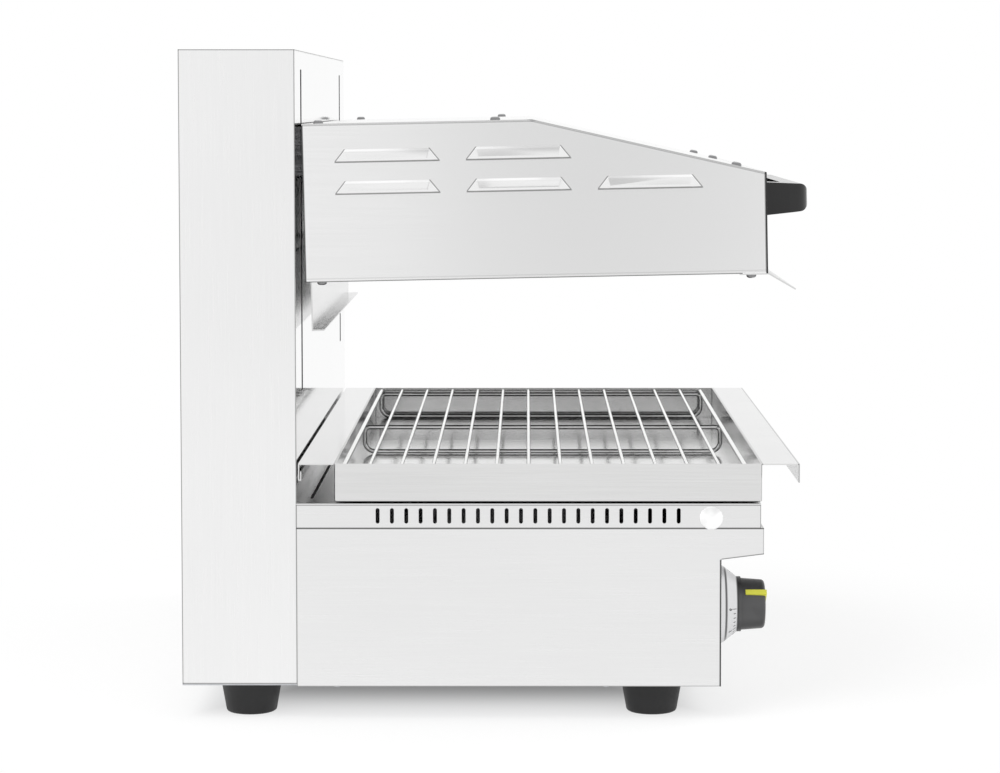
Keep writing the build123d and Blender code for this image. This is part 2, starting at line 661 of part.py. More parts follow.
with BuildPart() as bump_stops:
    with BuildSketch(level_plane(LOWER_BRACKET)):
        with Locations(*rod_points):
            Circle(BUFFER_D / 2)
            Circle(ROD_D / 2 + HOLE_FIT, mode=Mode.SUBTRACT)
    extrude(amount=BUFFER_LENGTH)
    with BuildSketch(level_plane(UPPER_STOP)):
        with Locations(*rod_points):
            Circle(BUFFER_D / 2)
            Circle(ROD_D / 2 + HOLE_FIT, mode=Mode.SUBTRACT)
    extrude(amount=BUFFER_UPPER)
finish(bump_stops, "bump_stops")

# ------------------------------------------------------------------ pulleys and cables
CHEEK_GAP = PULLEY_WIDTH / 2 + 0.5
CHEEK_HALF_DEPTH = 14.0
pulley_xs = (-PULLEY_X, PULLEY_X)

with BuildPart() as pulley_brackets:
    with BuildSketch(front_plane(AXLE_DEPTH - CHEEK_HALF_DEPTH)):
        for x in pulley_xs:
            box_between((x - CHEEK_GAP - CHEEK, COLUMN_TOP - PANEL - CHEEK), (x + CHEEK_GAP + CHEEK, COLUMN_TOP - PANEL))
            for side in (-1, 1):
                near, far = x + side * CHEEK_GAP, x + side * (CHEEK_GAP + CHEEK)
                box_between((min(near, far), AXLE_Z - 12), (max(near, far), COLUMN_TOP - PANEL - CHEEK))
    extrude(amount=2 * CHEEK_HALF_DEPTH)
    with BuildSketch(side_plane(PULLEY_X + 2 * PULLEY_WIDTH)):
        with Locations((AXLE_DEPTH, AXLE_Z)):
            Circle(AXLE_D / 2 + RUNNING_FIT)
    extrude(amount=2 * PULLEY_X + 4 * PULLEY_WIDTH, mode=Mode.SUBTRACT)
finish(pulley_brackets, "pulley_brackets")

with BuildPart() as pulley_axles:
    for x in pulley_xs:
        with BuildSketch(side_plane(x)):
            with Locations((AXLE_DEPTH, AXLE_Z)):
                Circle(AXLE_D / 2)
        extrude(amount=CHEEK_GAP + CHEEK + 2, both=True)
finish(pulley_axles, "pulley_axles")


def pulley(x):
    """Grooved wheel on its axle, turned about the axle's line."""
    bore, rim = AXLE_D / 2 + RUNNING_FIT, PULLEY_R + PULLEY_RIM
    groove = PULLEY_R - CABLE_D / 2 - REST_AIR
    half, mouth, floor = PULLEY_WIDTH / 2, PULLEY_WIDTH / 2 - 1.5, CABLE_D / 2 + 0.3
    with BuildPart() as wheel:
        with BuildSketch(front_plane(AXLE_DEPTH)):
            outline(
                (x - half, AXLE_Z + bore), (x + half, AXLE_Z + bore), (x + half, AXLE_Z + rim),
                (x + mouth, AXLE_Z + rim), (x + floor, AXLE_Z + groove), (x - floor, AXLE_Z + groove),
                (x - mouth, AXLE_Z + rim), (x - half, AXLE_Z + rim),
            )
        revolve(axis=Axis((x, REAR_Y - AXLE_DEPTH, AXLE_Z), (1, 0, 0)))
        with BuildSketch(side_plane(x + half)):
            with Locations((AXLE_DEPTH, AXLE_Z)):
                with PolarLocations((bore + groove) / 2, 5):
                    Circle(2.6)
        extrude(amount=PULLEY_WIDTH, mode=Mode.SUBTRACT)
    return wheel


pulley_left = pulley(-PULLEY_X)
finish(pulley_left, "pulley_left")
pulley_right = pulley(PULLEY_X)
finish(pulley_right, "pulley_right")

LUG_TOP = CARRIAGE_BOTTOM + BUSH_LENGTH
with BuildPart() as lift_cables:
    for x in pulley_xs:
        with BuildLine(side_plane(x)) as route:
            Line((ROD_DEPTH, LUG_TOP), (ROD_DEPTH, AXLE_Z))
            CenterArc((AXLE_DEPTH, AXLE_Z), PULLEY_R, 0, 180)
            Line((WEIGHT_DEPTH, AXLE_Z), (WEIGHT_DEPTH, WEIGHT_TOP))
        with BuildSketch(level_plane(LUG_TOP)):
            with Locations((x, -ROD_DEPTH)):
                Circle(CABLE_D / 2)
        sweep(path=route.wires()[0])
finish(lift_cables, "lift_cables")

with BuildPart() as counterweight:
    with BuildSketch(level_plane(WEIGHT_TOP - WEIGHT_HEIGHT)):
        with Locations((0, -WEIGHT_DEPTH)):
            Rectangle(WEIGHT_WIDTH, WEIGHT_THICK)
    extrude(amount=WEIGHT_HEIGHT)
    chamfer(counterweight.edges().filter_by(Axis.Z), length=2)
finish(counterweight, "counterweight")

# ------------------------------------------------------------------ carriage
housing_bottoms = (CARRIAGE_BOTTOM, CARRIAGE_TOP - BUSH_LENGTH)
BUSH_R = ROD_D / 2 + RUNNING_FIT + BUSH_WALL

with BuildPart() as carriage:
    with BuildSketch(front_plane(CARRIAGE_DEPTH)):
        box_between((-CARRIAGE_HALF, CARRIAGE_BOTTOM), (CARRIAGE_HALF, CARRIAGE_TOP))
        with GridLocations(CARRIAGE_SLOT_PITCH, 1, 3, 1):
            with Locations((0, (CARRIAGE_BOTTOM + CARRIAGE_TOP) / 2)):
                SlotOverall(CARRIAGE_SLOT, CARRIAGE_SLOT_HEIGHT, mode=Mode.SUBTRACT)
    extrude(amount=CARRIAGE_PLATE)
    for bottom in housing_bottoms:
        with BuildSketch(level_plane(bottom)):
            for x in (-ROD_X, ROD_X):
                box_between((x - HOUSING / 2, -CARRIAGE_DEPTH), (x + HOUSING / 2, -ROD_DEPTH + HOUSING / 2 - 2))
        extrude(amount=BUSH_LENGTH)
    with BuildSketch(level_plane(LUG_TOP - LUG_HEIGHT)):
        for x in pulley_xs:
            box_between((x - LUG / 2, -CARRIAGE_DEPTH), (x + LUG / 2, -ROD_DEPTH + LUG / 2))
    extrude(amount=LUG_HEIGHT)
    with BuildSketch(level_plane(CARRIAGE_BOTTOM)):
        with Locations(*rod_points):
            Circle(BUSH_R)
    extrude(amount=CARRIAGE_HEIGHT, mode=Mode.SUBTRACT)
finish(carriage, "carriage")

with BuildPart() as guide_bushes:
    for bottom in housing_bottoms:
        with BuildSketch(level_plane(bottom)):
            with Locations(*rod_points):
                Circle(BUSH_R)
                Circle(ROD_D / 2 + RUNNING_FIT, mode=Mode.SUBTRACT)
        extrude(amount=BUSH_LENGTH)
finish(guide_bushes, "guide_bushes")

CROSSBAR_DEPTH = HEAD_REAR + ARM_REACH
arm_xs = (-SLOT_X - ARM_WALL / 2, SLOT_X - ARM_WALL / 2)

with BuildPart() as lift_arms:
    for x in arm_xs:
        with BuildSketch(side_plane(x + ARM_WALL)):
            box_between(
                (CARRIAGE_DEPTH + CARRIAGE_PLATE, ARM_TOP - ARM_HEIGHT), (HEAD_REAR + FLANGE, ARM_TOP)
            )
        extrude(amount=ARM_WALL)
        with BuildSketch(tilted(side_plane(x + ARM_WALL))):
            box_between((HEAD_REAR + FLANGE / 2, ARM_TOP - ARM_HEIGHT + 3), (CROSSBAR_DEPTH, ARM_TOP))
        extrude(amount=ARM_WALL)
finish(lift_arms, "lift_arms")

# ================================================================== head
HEAD_CEILING = HEAD_TOP - PANEL
roof_fold = [
    (HEAD_REAR, HEAD_TOP),
    (HEAD_FOLD, HEAD_TOP),
    (HEAD_FRONT, HEAD_NOSE_TOP),
    (HEAD_FRONT, HEAD_BOTTOM),
    (HEAD_FRONT - LIP_RETURN, HEAD_BOTTOM),
]
under_roof = inner_line(roof_fold, PANEL)
head_screw_x = HEAD_HALF - SCREW_EDGE
roof_points = [
    (side * head_screw_x, -HEAD_REAR - depth) for side in (-1, 1) for depth in ROOF_SCREW_DEPTHS
]
slope_points = [(x, -SLOPE_SCREW) for x in (-head_screw_x, 0, head_screw_x)]
under_points = [
    (side * head_screw_x, -depth)
    for side in (-1, 1) for depth in (HEAD_REAR + UNDER_SCREW_INSET, HEAD_FRONT - UNDER_SCREW_INSET)
]
HEAD_SHANK_D = 3.9
roof_plane = tilted(level_plane(HEAD_TOP))
slope_plane = tilted(
    Plane(
        origin=(0, REAR_Y - HEAD_FOLD, HEAD_TOP), x_dir=(1, 0, 0),
        z_dir=(0, -sin(radians(SLOPE)), cos(radians(SLOPE))),
    )
)
under_plane = tilted(level_plane(HEAD_BOTTOM))
handle_mid_z = HEAD_BOTTOM + HANDLE_BOTTOM + HANDLE_ROOT / 2
HANDLE_SHANK_D = 4.0
HANDLE_SCREW_D = 8.5
HANDLE_SCREW = 14.0
HANDLE_SCREW_RISE = 7.0
handle_screw_points = [
    (side * (HANDLE_WIDTH - HANDLE_POST) / 2, handle_mid_z + rise) for side in (-1, 1) for rise in (-HANDLE_SCREW_RISE, HANDLE_SCREW_RISE)
]


def head_screw_holes():
    """Screw holes through the roof, the slope and the underside flanges."""
    for plane, points in ((roof_plane, roof_points), (slope_plane, slope_points), (under_plane, under_points)):
        with BuildSketch(plane) as holes:
            with Locations(*points):
                Circle(HEAD_SHANK_D / 2 + HOLE_FIT)
        extrude(holes.sketch, amount=3 * PANEL, both=True, mode=Mode.SUBTRACT)


with BuildPart() as head_cover:
    with BuildSketch(tilted(side_plane(0))):
        folded(roof_fold, PANEL)
    extrude(amount=HEAD_HALF, both=True)
    head_screw_holes()
    with BuildSketch(tilted(front_plane(HEAD_FRONT))):
        with Locations(*handle_screw_points):
            Circle(HANDLE_SHANK_D / 2 + HOLE_FIT)
    extrude(amount=-2 * PANEL, mode=Mode.SUBTRACT)
finish(head_cover, "head_cover")

louvre_sills = [
    (HEAD_REAR + LOUVRE_FIRST + LOUVRE_PITCH * step, HEAD_BOTTOM + rise)
    for rise, steps in ((LOUVRE_UPPER, 2), (LOUVRE_LOWER, 3)) for step in range(steps)
]


def louvre_footprint(depth, height, inset):
    """Outline of a louvre on the side panel, full width along its sill."""
    with BuildSketch(tilted(side_plane(-HEAD_HALF))) as footprint:
        outline(
            (depth + inset, height), (depth + LOUVRE_LENGTH - inset, height),
            (depth + LOUVRE_LENGTH - LOUVRE_SLANT - inset, height + LOUVRE_HEIGHT - inset),
            (depth + LOUVRE_SLANT + inset, height + LOUVRE_HEIGHT - inset),
        )
    return footprint.sketch


def louvre_hood(depth, height, inset, mode):
    """Hood pressed out of the left side panel, with its mouth along the sill."""
    near, far = depth + LOUVRE_SLANT + inset, depth + LOUVRE_LENGTH - LOUVRE_SLANT - inset
    rise = LOUVRE_LIP - inset
    lean = LOUVRE_SLANT * rise / (LOUVRE_HEIGHT - inset)
    with BuildSketch(tilted(side_plane(-HEAD_HALF)).offset(LOUVRE_PROUD - inset)) as proud:
        outline((near, height), (far, height), (far - lean, height + rise), (near + lean, height + rise))
    loft([louvre_footprint(depth, height, inset), proud.sketch], ruled=True, mode=mode)


with BuildPart() as head_side_left:
    with BuildSketch(tilted(side_plane(PANEL - HEAD_HALF))):
        outline(*under_roof, roof_fold[-1], (HEAD_REAR, HEAD_BOTTOM))
    extrude(amount=PANEL)
    # return flanges along the underside, the roof and the rear
    with BuildSketch(tilted(side_plane(PANEL - HEAD_HALF))):
        box_between((HEAD_REAR + PANEL, HEAD_BOTTOM), (HEAD_FRONT - LIP_RETURN, HEAD_BOTTOM + PANEL))
    extrude(amount=-HEAD_FLANGE + PANEL)
    with BuildSketch(tilted(side_plane(PANEL - HEAD_HALF))):
        box_between((HEAD_REAR + PANEL, HEAD_CEILING - PANEL), (under_roof[1][0] - 2, HEAD_CEILING))
    extrude(amount=-FLANGE)
    for sill in louvre_sills:
        louvre_hood(*sill, 0, Mode.ADD)
    for depth, height in louvre_sills:
        louvre_hood(depth, height, LOUVRE_WALL, Mode.SUBTRACT)
        extrude(louvre_footprint(depth, height, LOUVRE_WALL), amount=-PANEL, mode=Mode.SUBTRACT)
    head_screw_holes()
finish(head_side_left, "head_side_left")

with BuildPart() as head_side_right:
    mirror(head_side_left.part, about=Plane.YZ)
finish(head_side_right, "head_side_right")

ARM_SLOT = 1.0             # air around the arms in the rear panel
with BuildPart() as head_back:
    with BuildSketch(tilted(front_plane(HEAD_REAR))):
        box_between((PANEL - HEAD_HALF, HEAD_BOTTOM + PANEL), (HEAD_HALF - PANEL, HEAD_CEILING))
        for x in arm_xs:
            box_between(
                (x - ARM_SLOT, ARM_TOP - ARM_HEIGHT - 6), (x + ARM_WALL + ARM_SLOT, ARM_TOP + 4.6), Mode.SUBTRACT
            )
    extrude(amount=PANEL)
finish(head_back, "head_back")

SPLASH_HALF = SLOT_X - ARM_WALL
with BuildPart() as splash_plate:
    with BuildSketch(tilted(side_plane(0))):
        folded(
            [
                (HEAD_REAR, HEAD_BOTTOM + SPLASH_LAP),
                (HEAD_REAR, HEAD_BOTTOM - SPLASH_DROP + PANEL),
                (HEAD_REAR + SPLASH_LIP, HEAD_BOTTOM - SPLASH_DROP + PANEL),
            ],
            PANEL,
        )
    extrude(amount=SPLASH_HALF, both=True)
finish(splash_plate, "splash_plate")

with BuildPart() as front_deflector:
    lip_start = HEAD_FRONT + 1.1
    with BuildSketch(tilted(side_plane(0))):
        folded(
            [
                (lip_start - DEFLECTOR_FLANGE, HEAD_BOTTOM),
                (lip_start, HEAD_BOTTOM),
                (
                    lip_start + DEFLECTOR_LIP * cos(radians(DEFLECTOR_ANGLE)),
                    HEAD_BOTTOM - DEFLECTOR_LIP * sin(radians(DEFLECTOR_ANGLE)),
                ),
            ],
            PANEL,
        )
    extrude(amount=DEFLECTOR_HALF, both=True)
    with BuildSketch(under_plane):
        with Locations(*under_points):
            Circle(HEAD_SHANK_D / 2 + HOLE_FIT)
    extrude(amount=3 * PANEL, both=True, mode=Mode.SUBTRACT)
finish(front_deflector, "front_deflector")

# ------------------------------------------------------------------ heating
REFLECTOR_REAR = HEAD_REAR + 14.5
REFLECTOR_FRONT = HEAD_FRONT - 12.7
REFLECTOR_SLANT = 16.0
leg_depths = [ELEMENT_MID + ELEMENT_PITCH * (n - (ELEMENT_LEGS - 1) / 2) for n in range(ELEMENT_LEGS)]
ELEMENT_END = REFLECTOR_HALF + 8.0

with BuildPart() as reflector:
    with BuildSketch(tilted(side_plane(0))):
        outline(
            (REFLECTOR_REAR, REFLECTOR_BOTTOM), (REFLECTOR_FRONT, REFLECTOR_BOTTOM),
            (REFLECTOR_FRONT - REFLECTOR_SLANT, REFLECTOR_TOP), (REFLECTOR_REAR + REFLECTOR_SLANT, REFLECTOR_TOP),
        )
    extrude(amount=REFLECTOR_HALF, both=True)
    offset(amount=-REFLECTOR_SHEET, openings=reflector.faces().sort_by(Axis.Z)[0], kind=Kind.INTERSECTION)
    with BuildSketch(tilted(side_plane(REFLECTOR_HALF + 1))):
        with Locations(*[(depth, ELEMENT_Z) for depth in leg_depths]):
            Circle(ELEMENT_D / 2 + HOLE_FIT)
    extrude(amount=2 * REFLECTOR_HALF + 2, mode=Mode.SUBTRACT)
finish(reflector, "reflector")

with BuildPart() as insulation:
    with BuildSketch(tilted(side_plane(0))):
        box_between(
            (REFLECTOR_REAR + REFLECTOR_SLANT, REFLECTOR_TOP),
            (REFLECTOR_FRONT - REFLECTOR_SLANT, REFLECTOR_TOP + INSULATION),
        )
    extrude(amount=REFLECTOR_HALF - 4, both=True)
finish(insulation, "insulation")

with BuildPart() as heating_elements:
    for side in (-1, 1):
        for rear, front in zip(leg_depths[::2], leg_depths[1::2]):
            bend = side * (ELEMENT_INNER + ELEMENT_PITCH / 2)
            with BuildLine(tilted(level_plane(ELEMENT_Z))) as hairpin:
                Line((side * ELEMENT_END, -rear), (bend, -rear))
                ThreePointArc((bend, -rear), (side * ELEMENT_INNER, -(rear + front) / 2), (bend, -front))
                Line((bend, -front), (side * ELEMENT_END, -front))
            with BuildSketch(tilted(side_plane(side * ELEMENT_END))):
                with Locations((rear, ELEMENT_Z)):
                    Circle(ELEMENT_D / 2)
            sweep(path=hairpin.wires()[0])
finish(heating_elements, "heating_elements")

with BuildPart() as element_terminals:
    with BuildSketch(tilted(side_plane(REFLECTOR_HALF))):
        with Locations(*[(depth, ELEMENT_Z) for depth in leg_depths]):
            Circle(BEAD_D / 2)
    extrude(amount=-BEAD_LENGTH)
    with BuildSketch(tilted(side_plane(REFLECTOR_HALF))):
        with Locations(*[(depth, ELEMENT_Z) for depth in leg_depths]):
            Circle(ELEMENT_D / 2 + HOLE_FIT)
    extrude(amount=REFLECTOR_HALF - ELEMENT_END, mode=Mode.SUBTRACT)
    mirror(about=Plane.YZ)
finish(element_terminals, "element_terminals")

with BuildPart() as element_hangers:
    for x in [side * near for side in (-1, 1) for near in HANGER_XS]:
        with BuildSketch(tilted(side_plane(x))):
            box_between(
                (leg_depths[0] - 14, ELEMENT_Z - ELEMENT_D), (leg_depths[-1] + 14, REFLECTOR_TOP - REFLECTOR_SHEET)
            )
            with Locations(*[(depth, ELEMENT_Z) for depth in leg_depths]):
                Circle(ELEMENT_D / 2 + HOLE_FIT, mode=Mode.SUBTRACT)
        extrude(amount=HANGER_WALL)
finish(element_hangers, "element_hangers")

GUARD_HALF = HEAD_HALF - HEAD_FLANGE + 3.0
GUARD_Z = REFLECTOR_BOTTOM + GUARD_FRAME_D / 2
guard_ends = (REFLECTOR_REAR + 7, REFLECTOR_FRONT - 7)
with BuildPart() as guard_grille:
    with BuildSketch(tilted(front_plane(guard_ends[0]))):
        with Locations((-GUARD_HALF, GUARD_Z), (GUARD_HALF, GUARD_Z)):
            Circle(GUARD_FRAME_D / 2)
        with Locations((0, GUARD_Z)):
            with GridLocations(2 * GUARD_HALF / (GUARD_RODS + 1), 1, GUARD_RODS, 1):
                Circle(GUARD_ROD_D / 2)
    extrude(amount=guard_ends[1] - guard_ends[0])
    with BuildSketch(tilted(side_plane(0))):
        with Locations(*[(depth, GUARD_Z) for depth in guard_ends]):
            Circle(GUARD_FRAME_D / 2)
    extrude(amount=GUARD_HALF, both=True)
finish(guard_grille, "guard_grille")

with BuildPart() as head_crossbar:
    with BuildSketch(tilted(side_plane(0))):
        top, bottom = ARM_TOP - 4, ARM_TOP - 4 - CROSSBAR
        folded(
            [
                (CROSSBAR_DEPTH + CROSSBAR, bottom), (CROSSBAR_DEPTH, bottom),
                (CROSSBAR_DEPTH, top), (CROSSBAR_DEPTH + CROSSBAR, top),
            ],
            CROSSBAR_WALL,
        )
    extrude(amount=HEAD_HALF - PANEL, both=True)
finish(head_crossbar, "head_crossbar")

# ------------------------------------------------------------------ handle and head screws
handle_back, handle_front = HEAD_FRONT, HEAD_FRONT + HANDLE_REACH
handle_low, handle_high = HEAD_BOTTOM + HANDLE_BOTTOM, HEAD_BOTTOM + HANDLE_BOTTOM + HANDLE_ROOT
with BuildPart() as handle:
    with BuildSketch(tilted(level_plane(handle_low - 1))) as bow:
        box_between((-HANDLE_WIDTH / 2, -handle_front), (HANDLE_WIDTH / 2, -handle_back))
        box_between(
            (HANDLE_POST - HANDLE_WIDTH / 2, HANDLE_GRIP - handle_front),
            (HANDLE_WIDTH / 2 - HANDLE_POST, -handle_back), Mode.SUBTRACT,
        )
        fillet(bow.vertices().group_by(Axis.Y)[1], radius=8)
        fillet(bow.vertices().group_by(Axis.Y)[0], radius=16)
    extrude(amount=HANDLE_ROOT + 2)
    # the bow thins towards its rounded front
    with BuildSketch(tilted(side_plane(0))) as taper:
        middle = (handle_low + handle_high) / 2 + 1.5
        outline(
            (handle_back, handle_low), (handle_front, middle - HANDLE_NOSE),
            (handle_front, middle + HANDLE_NOSE * 0.85), (handle_back, handle_high),
        )
        fillet(taper.vertices().group_by(Axis.X)[-1], radius=HANDLE_ROUND)
    extrude(amount=HANDLE_WIDTH, both=True, mode=Mode.INTERSECT)
    with BuildSketch(tilted(front_plane(HEAD_FRONT))):
        with Locations(*handle_screw_points):
            Circle(HANDLE_SHANK_D / 2 + HOLE_FIT)
    extrude(amount=HANDLE_SCREW + 2, mode=Mode.SUBTRACT)
finish(handle, "handle")

handle_screw = dome_screw(HANDLE_SCREW_D, HANDLE_SHANK_D, HANDLE_SCREW)
with BuildPart() as handle_screws:
    for place in at_points(tilted(front_plane(HEAD_FRONT - PANEL)), handle_screw_points):
        add(handle_screw.moved(place * Location((0, 0, 0), (180, 0, 0))))
finish(handle_screws, "handle_screws")

head_screw = dome_screw(ROOF_SCREW_D, HEAD_SHANK_D, SCREW_LENGTH)
with BuildPart() as head_screws:
    for place in at_points(roof_plane, roof_points) + at_points(slope_plane, slope_points):
        add(head_screw.moved(place))
    for x, y in under_points:
        drop = PANEL if -y > ELEMENT_MID else 0
        place = tilted(level_plane(HEAD_BOTTOM - drop)).location * Location((x, y, 0), (180, 0, 0))
        add(head_screw.moved(place))
finish(head_screws, "head_screws")

# ================================================================== controls
knob_points = [(-KNOB_X, KNOB_HEIGHT), (KNOB_X, KNOB_HEIGHT)]


def turned(x, profile):
    """Revolve a profile of (radius, height over the control panel) about a spindle's line."""
    centre = (x, REAR_Y - PANEL_DEPTH, KNOB_HEIGHT)
    with BuildSketch(Plane(origin=centre, x_dir=(1, 0, 0), z_dir=(0, 0, 1))) as section:
        outline(*[(radius, -height) for radius, height in profile])
    revolve(section.sketch, axis=Axis(centre, (0, 1, 0)))


bezel_mouth = KNOB_COLLAR_D / 2
bezel_profile = [
    (BEZEL_D / 2, 0), (BEZEL_D / 2, 2.0), (BEZEL_D / 2 - 3.0, 6.5), (bezel_mouth, BEZEL_HEIGHT),
    (bezel_mouth - BEZEL_WALL, BEZEL_HEIGHT), (BEZEL_D / 2 - 3.0 - BEZEL_WALL, 6.0),
    (BEZEL_D / 2 - BEZEL_WALL, 1.5), (BEZEL_D / 2 - BEZEL_WALL, 0),
]
with BuildPart() as knob_bezels:
    for x, _ in knob_points:
        turned(x, bezel_profile)
finish(knob_bezels, "knob_bezels")

KNOB_BACK = BEZEL_HEIGHT + REST_AIR
KNOB_HUB_D = 17.0
KNOB_HUB_BACK = 5.0
KNOB_BORE_END = 30.0
MARK_INNER = 7.0


def mark_block(x, air):
    """Pointer bar set into the knob's face and side."""
    pointing = (cos(radians(MARK_ANGLE)), 0, sin(radians(MARK_ANGLE)))
    face = Plane(
        origin=(x, REAR_Y - PANEL_DEPTH - KNOB_LENGTH, KNOB_HEIGHT), x_dir=pointing, z_dir=(0, -1, 0)
    )
    reach = KNOB_D / 2 + MARK_PROUD
    with BuildSketch(face.offset(MARK_PROUD)) as top_bar:
        box_between((MARK_INNER - air, -MARK_WIDTH / 2 - air), (reach + air, MARK_WIDTH / 2 + air))
    extrude(top_bar.sketch, amount=-MARK_PROUD - MARK_DEEP - air)
    with BuildSketch(face) as side_bar:
        box_between((KNOB_TIP_D / 2 - MARK_DEEP - air, -MARK_WIDTH / 2 - air), (reach + air, MARK_WIDTH / 2 + air))
    extrude(side_bar.sketch, amount=KNOB_BACK + KNOB_COLLAR - KNOB_LENGTH + 3)


def make_knob(x):
    """Black knob with a collar, a tapering grip and a seat for its pointer."""
    with BuildPart(mode=Mode.PRIVATE) as seat:
        mark_block(x, 0)
    with BuildPart() as knob:
        turned(
            x,
            [
                (SPINDLE_D / 2 + HOLE_FIT, KNOB_HUB_BACK), (KNOB_HUB_D / 2, KNOB_HUB_BACK),
                (KNOB_HUB_D / 2, KNOB_BACK), (KNOB_COLLAR_D / 2, KNOB_BACK),
                (KNOB_COLLAR_D / 2, KNOB_BACK + KNOB_COLLAR), (KNOB_D / 2, KNOB_BACK + KNOB_COLLAR),
                (KNOB_TIP_D / 2, KNOB_LENGTH), (0, KNOB_LENGTH), (0, KNOB_BORE_END),
                (SPINDLE_D / 2 + HOLE_FIT, KNOB_BORE_END),
            ],
        )
        fillet(knob.faces().sort_by(Axis.Y)[0].edges(), radius=KNOB_EDGE)
        add(seat.part, mode=Mode.SUBTRACT)
    return knob


def make_mark(x):
    """Yellow pointer bar that fills its seat in the knob."""
    with BuildPart() as mark:
        mark_block(x, 0)
    return mark


def make_spindle(x):
    """Regulator spindle that carries the knob."""
    with BuildPart() as spindle:
        with BuildSketch(front_plane(PANEL_DEPTH - PANEL - SPINDLE_IN)):
            with Locations((x, KNOB_HEIGHT)):
                Circle(SPINDLE_D / 2)
        extrude(amount=PANEL + SPINDLE_IN + KNOB_BORE_END - REST_AIR)
    return spindle


knob_left, knob_right = make_knob(-KNOB_X), make_knob(KNOB_X)
finish(knob_left, "knob_left")
finish(knob_right, "knob_right")
knob_mark_left, knob_mark_right = make_mark(-KNOB_X), make_mark(KNOB_X)
finish(knob_mark_left, "knob_mark_left")
finish(knob_mark_right, "knob_mark_right")
spindle_left, spindle_right = make_spindle(-KNOB_X), make_spindle(KNOB_X)
finish(spindle_left, "spindle_left")
finish(spindle_right, "spindle_right")

with BuildPart() as energy_regulators:
    with BuildSketch(front_plane(PANEL_DEPTH - PANEL - REGULATOR_DEPTH)):
        with Locations(*knob_points):
            RectangleRounded(REGULATOR, REGULATOR, 3)
    extrude(amount=REGULATOR_DEPTH)
    with BuildSketch(front_plane(PANEL_DEPTH - PANEL)):
        with Locations(*knob_points):
            Circle(SPINDLE_D / 2 + RUNNING_FIT)
    extrude(amount=-SPINDLE_IN - 2, mode=Mode.SUBTRACT)
    with BuildSketch(front_plane(PANEL_DEPTH - PANEL - REGULATOR_DEPTH)):
        for x, height in knob_points:
            with Locations((x, height)):
                with GridLocations(12, 24, 3, 2):
                    Rectangle(1, 6.3)
    extrude(amount=-8)
finish(energy_regulators, "energy_regulators")

with BuildPart() as pilot_lamps:
    with BuildSketch(front_plane(PANEL_DEPTH)):
        with Locations((-LAMP_X, KNOB_HEIGHT), (LAMP_X, KNOB_HEIGHT)):
            Circle(LAMP_D / 2)
    extrude(amount=LAMP_DOME)
    fillet(pilot_lamps.faces().group_by(Axis.Y)[0].edges(), radius=LAMP_DOME * 0.7)
    with BuildSketch(front_plane(PANEL_DEPTH)):
        with Locations((-LAMP_X, KNOB_HEIGHT), (LAMP_X, KNOB_HEIGHT)):
            Circle(LAMP_D / 2 - LAMP_RIM - HOLE_FIT)
    extrude(amount=-LAMP_BODY)
finish(pilot_lamps, "pilot_lamps")

# ------------------------------------------------------------------ supply
block_point = (GLAND_X - BLOCK_OFFSET, -BLOCK_REAR)
with BuildPart() as terminal_block:
    with BuildSketch(level_plane(BASE_BOTTOM + PANEL)):
        with Locations(block_point):
            Rectangle(BLOCK_WIDTH, BLOCK_DEPTH)
    extrude(amount=BLOCK_HEIGHT)
    with BuildSketch(level_plane(BASE_BOTTOM + PANEL + BLOCK_HEIGHT)):
        with Locations(block_point):
            with GridLocations(BLOCK_WAY, BLOCK_DEPTH / 2 + 1, 5, 2):
                Circle(BLOCK_WELL_D / 2)
    extrude(amount=-BLOCK_WELL, mode=Mode.SUBTRACT)
finish(terminal_block, "terminal_block")

with BuildPart() as cable_gland:
    with BuildSketch(front_plane(0)):
        with Locations(GLAND_POINT):
            RegularPolygon(GLAND_HEX / 2, 6, major_radius=False)
    extrude(amount=-GLAND_HEX_LENGTH)
    with BuildSketch(front_plane(-GLAND_HEX_LENGTH)):
        with Locations(GLAND_POINT):
            Circle(GLAND_CAP_D / 2)
    extrude(amount=-GLAND_CAP_LENGTH)
    fillet(cable_gland.faces().sort_by(Axis.Y)[-1].edges(), radius=3)
    with BuildSketch(front_plane(0)):
        with Locations(GLAND_POINT):
            Circle(GLAND_THREAD_D / 2)
    extrude(amount=GLAND_INSIDE + PANEL)
    with BuildSketch(front_plane(GLAND_INSIDE + PANEL)):
        with Locations(GLAND_POINT):
            Circle(GLAND_BORE_D / 2)
    extrude(amount=-GLAND_INSIDE - PANEL - GLAND_HEX_LENGTH - GLAND_CAP_LENGTH, mode=Mode.SUBTRACT)
finish(cable_gland, "cable_gland")

with BuildPart() as gland_nut:
    with BuildSketch(front_plane(PANEL)):
        with Locations(GLAND_POINT):
            RegularPolygon(GLAND_HEX / 2, 6, major_radius=False)
            Circle(GLAND_THREAD_D / 2 + HOLE_FIT, mode=Mode.SUBTRACT)
    extrude(amount=GLAND_NUT)
finish(gland_nut, "gland_nut")

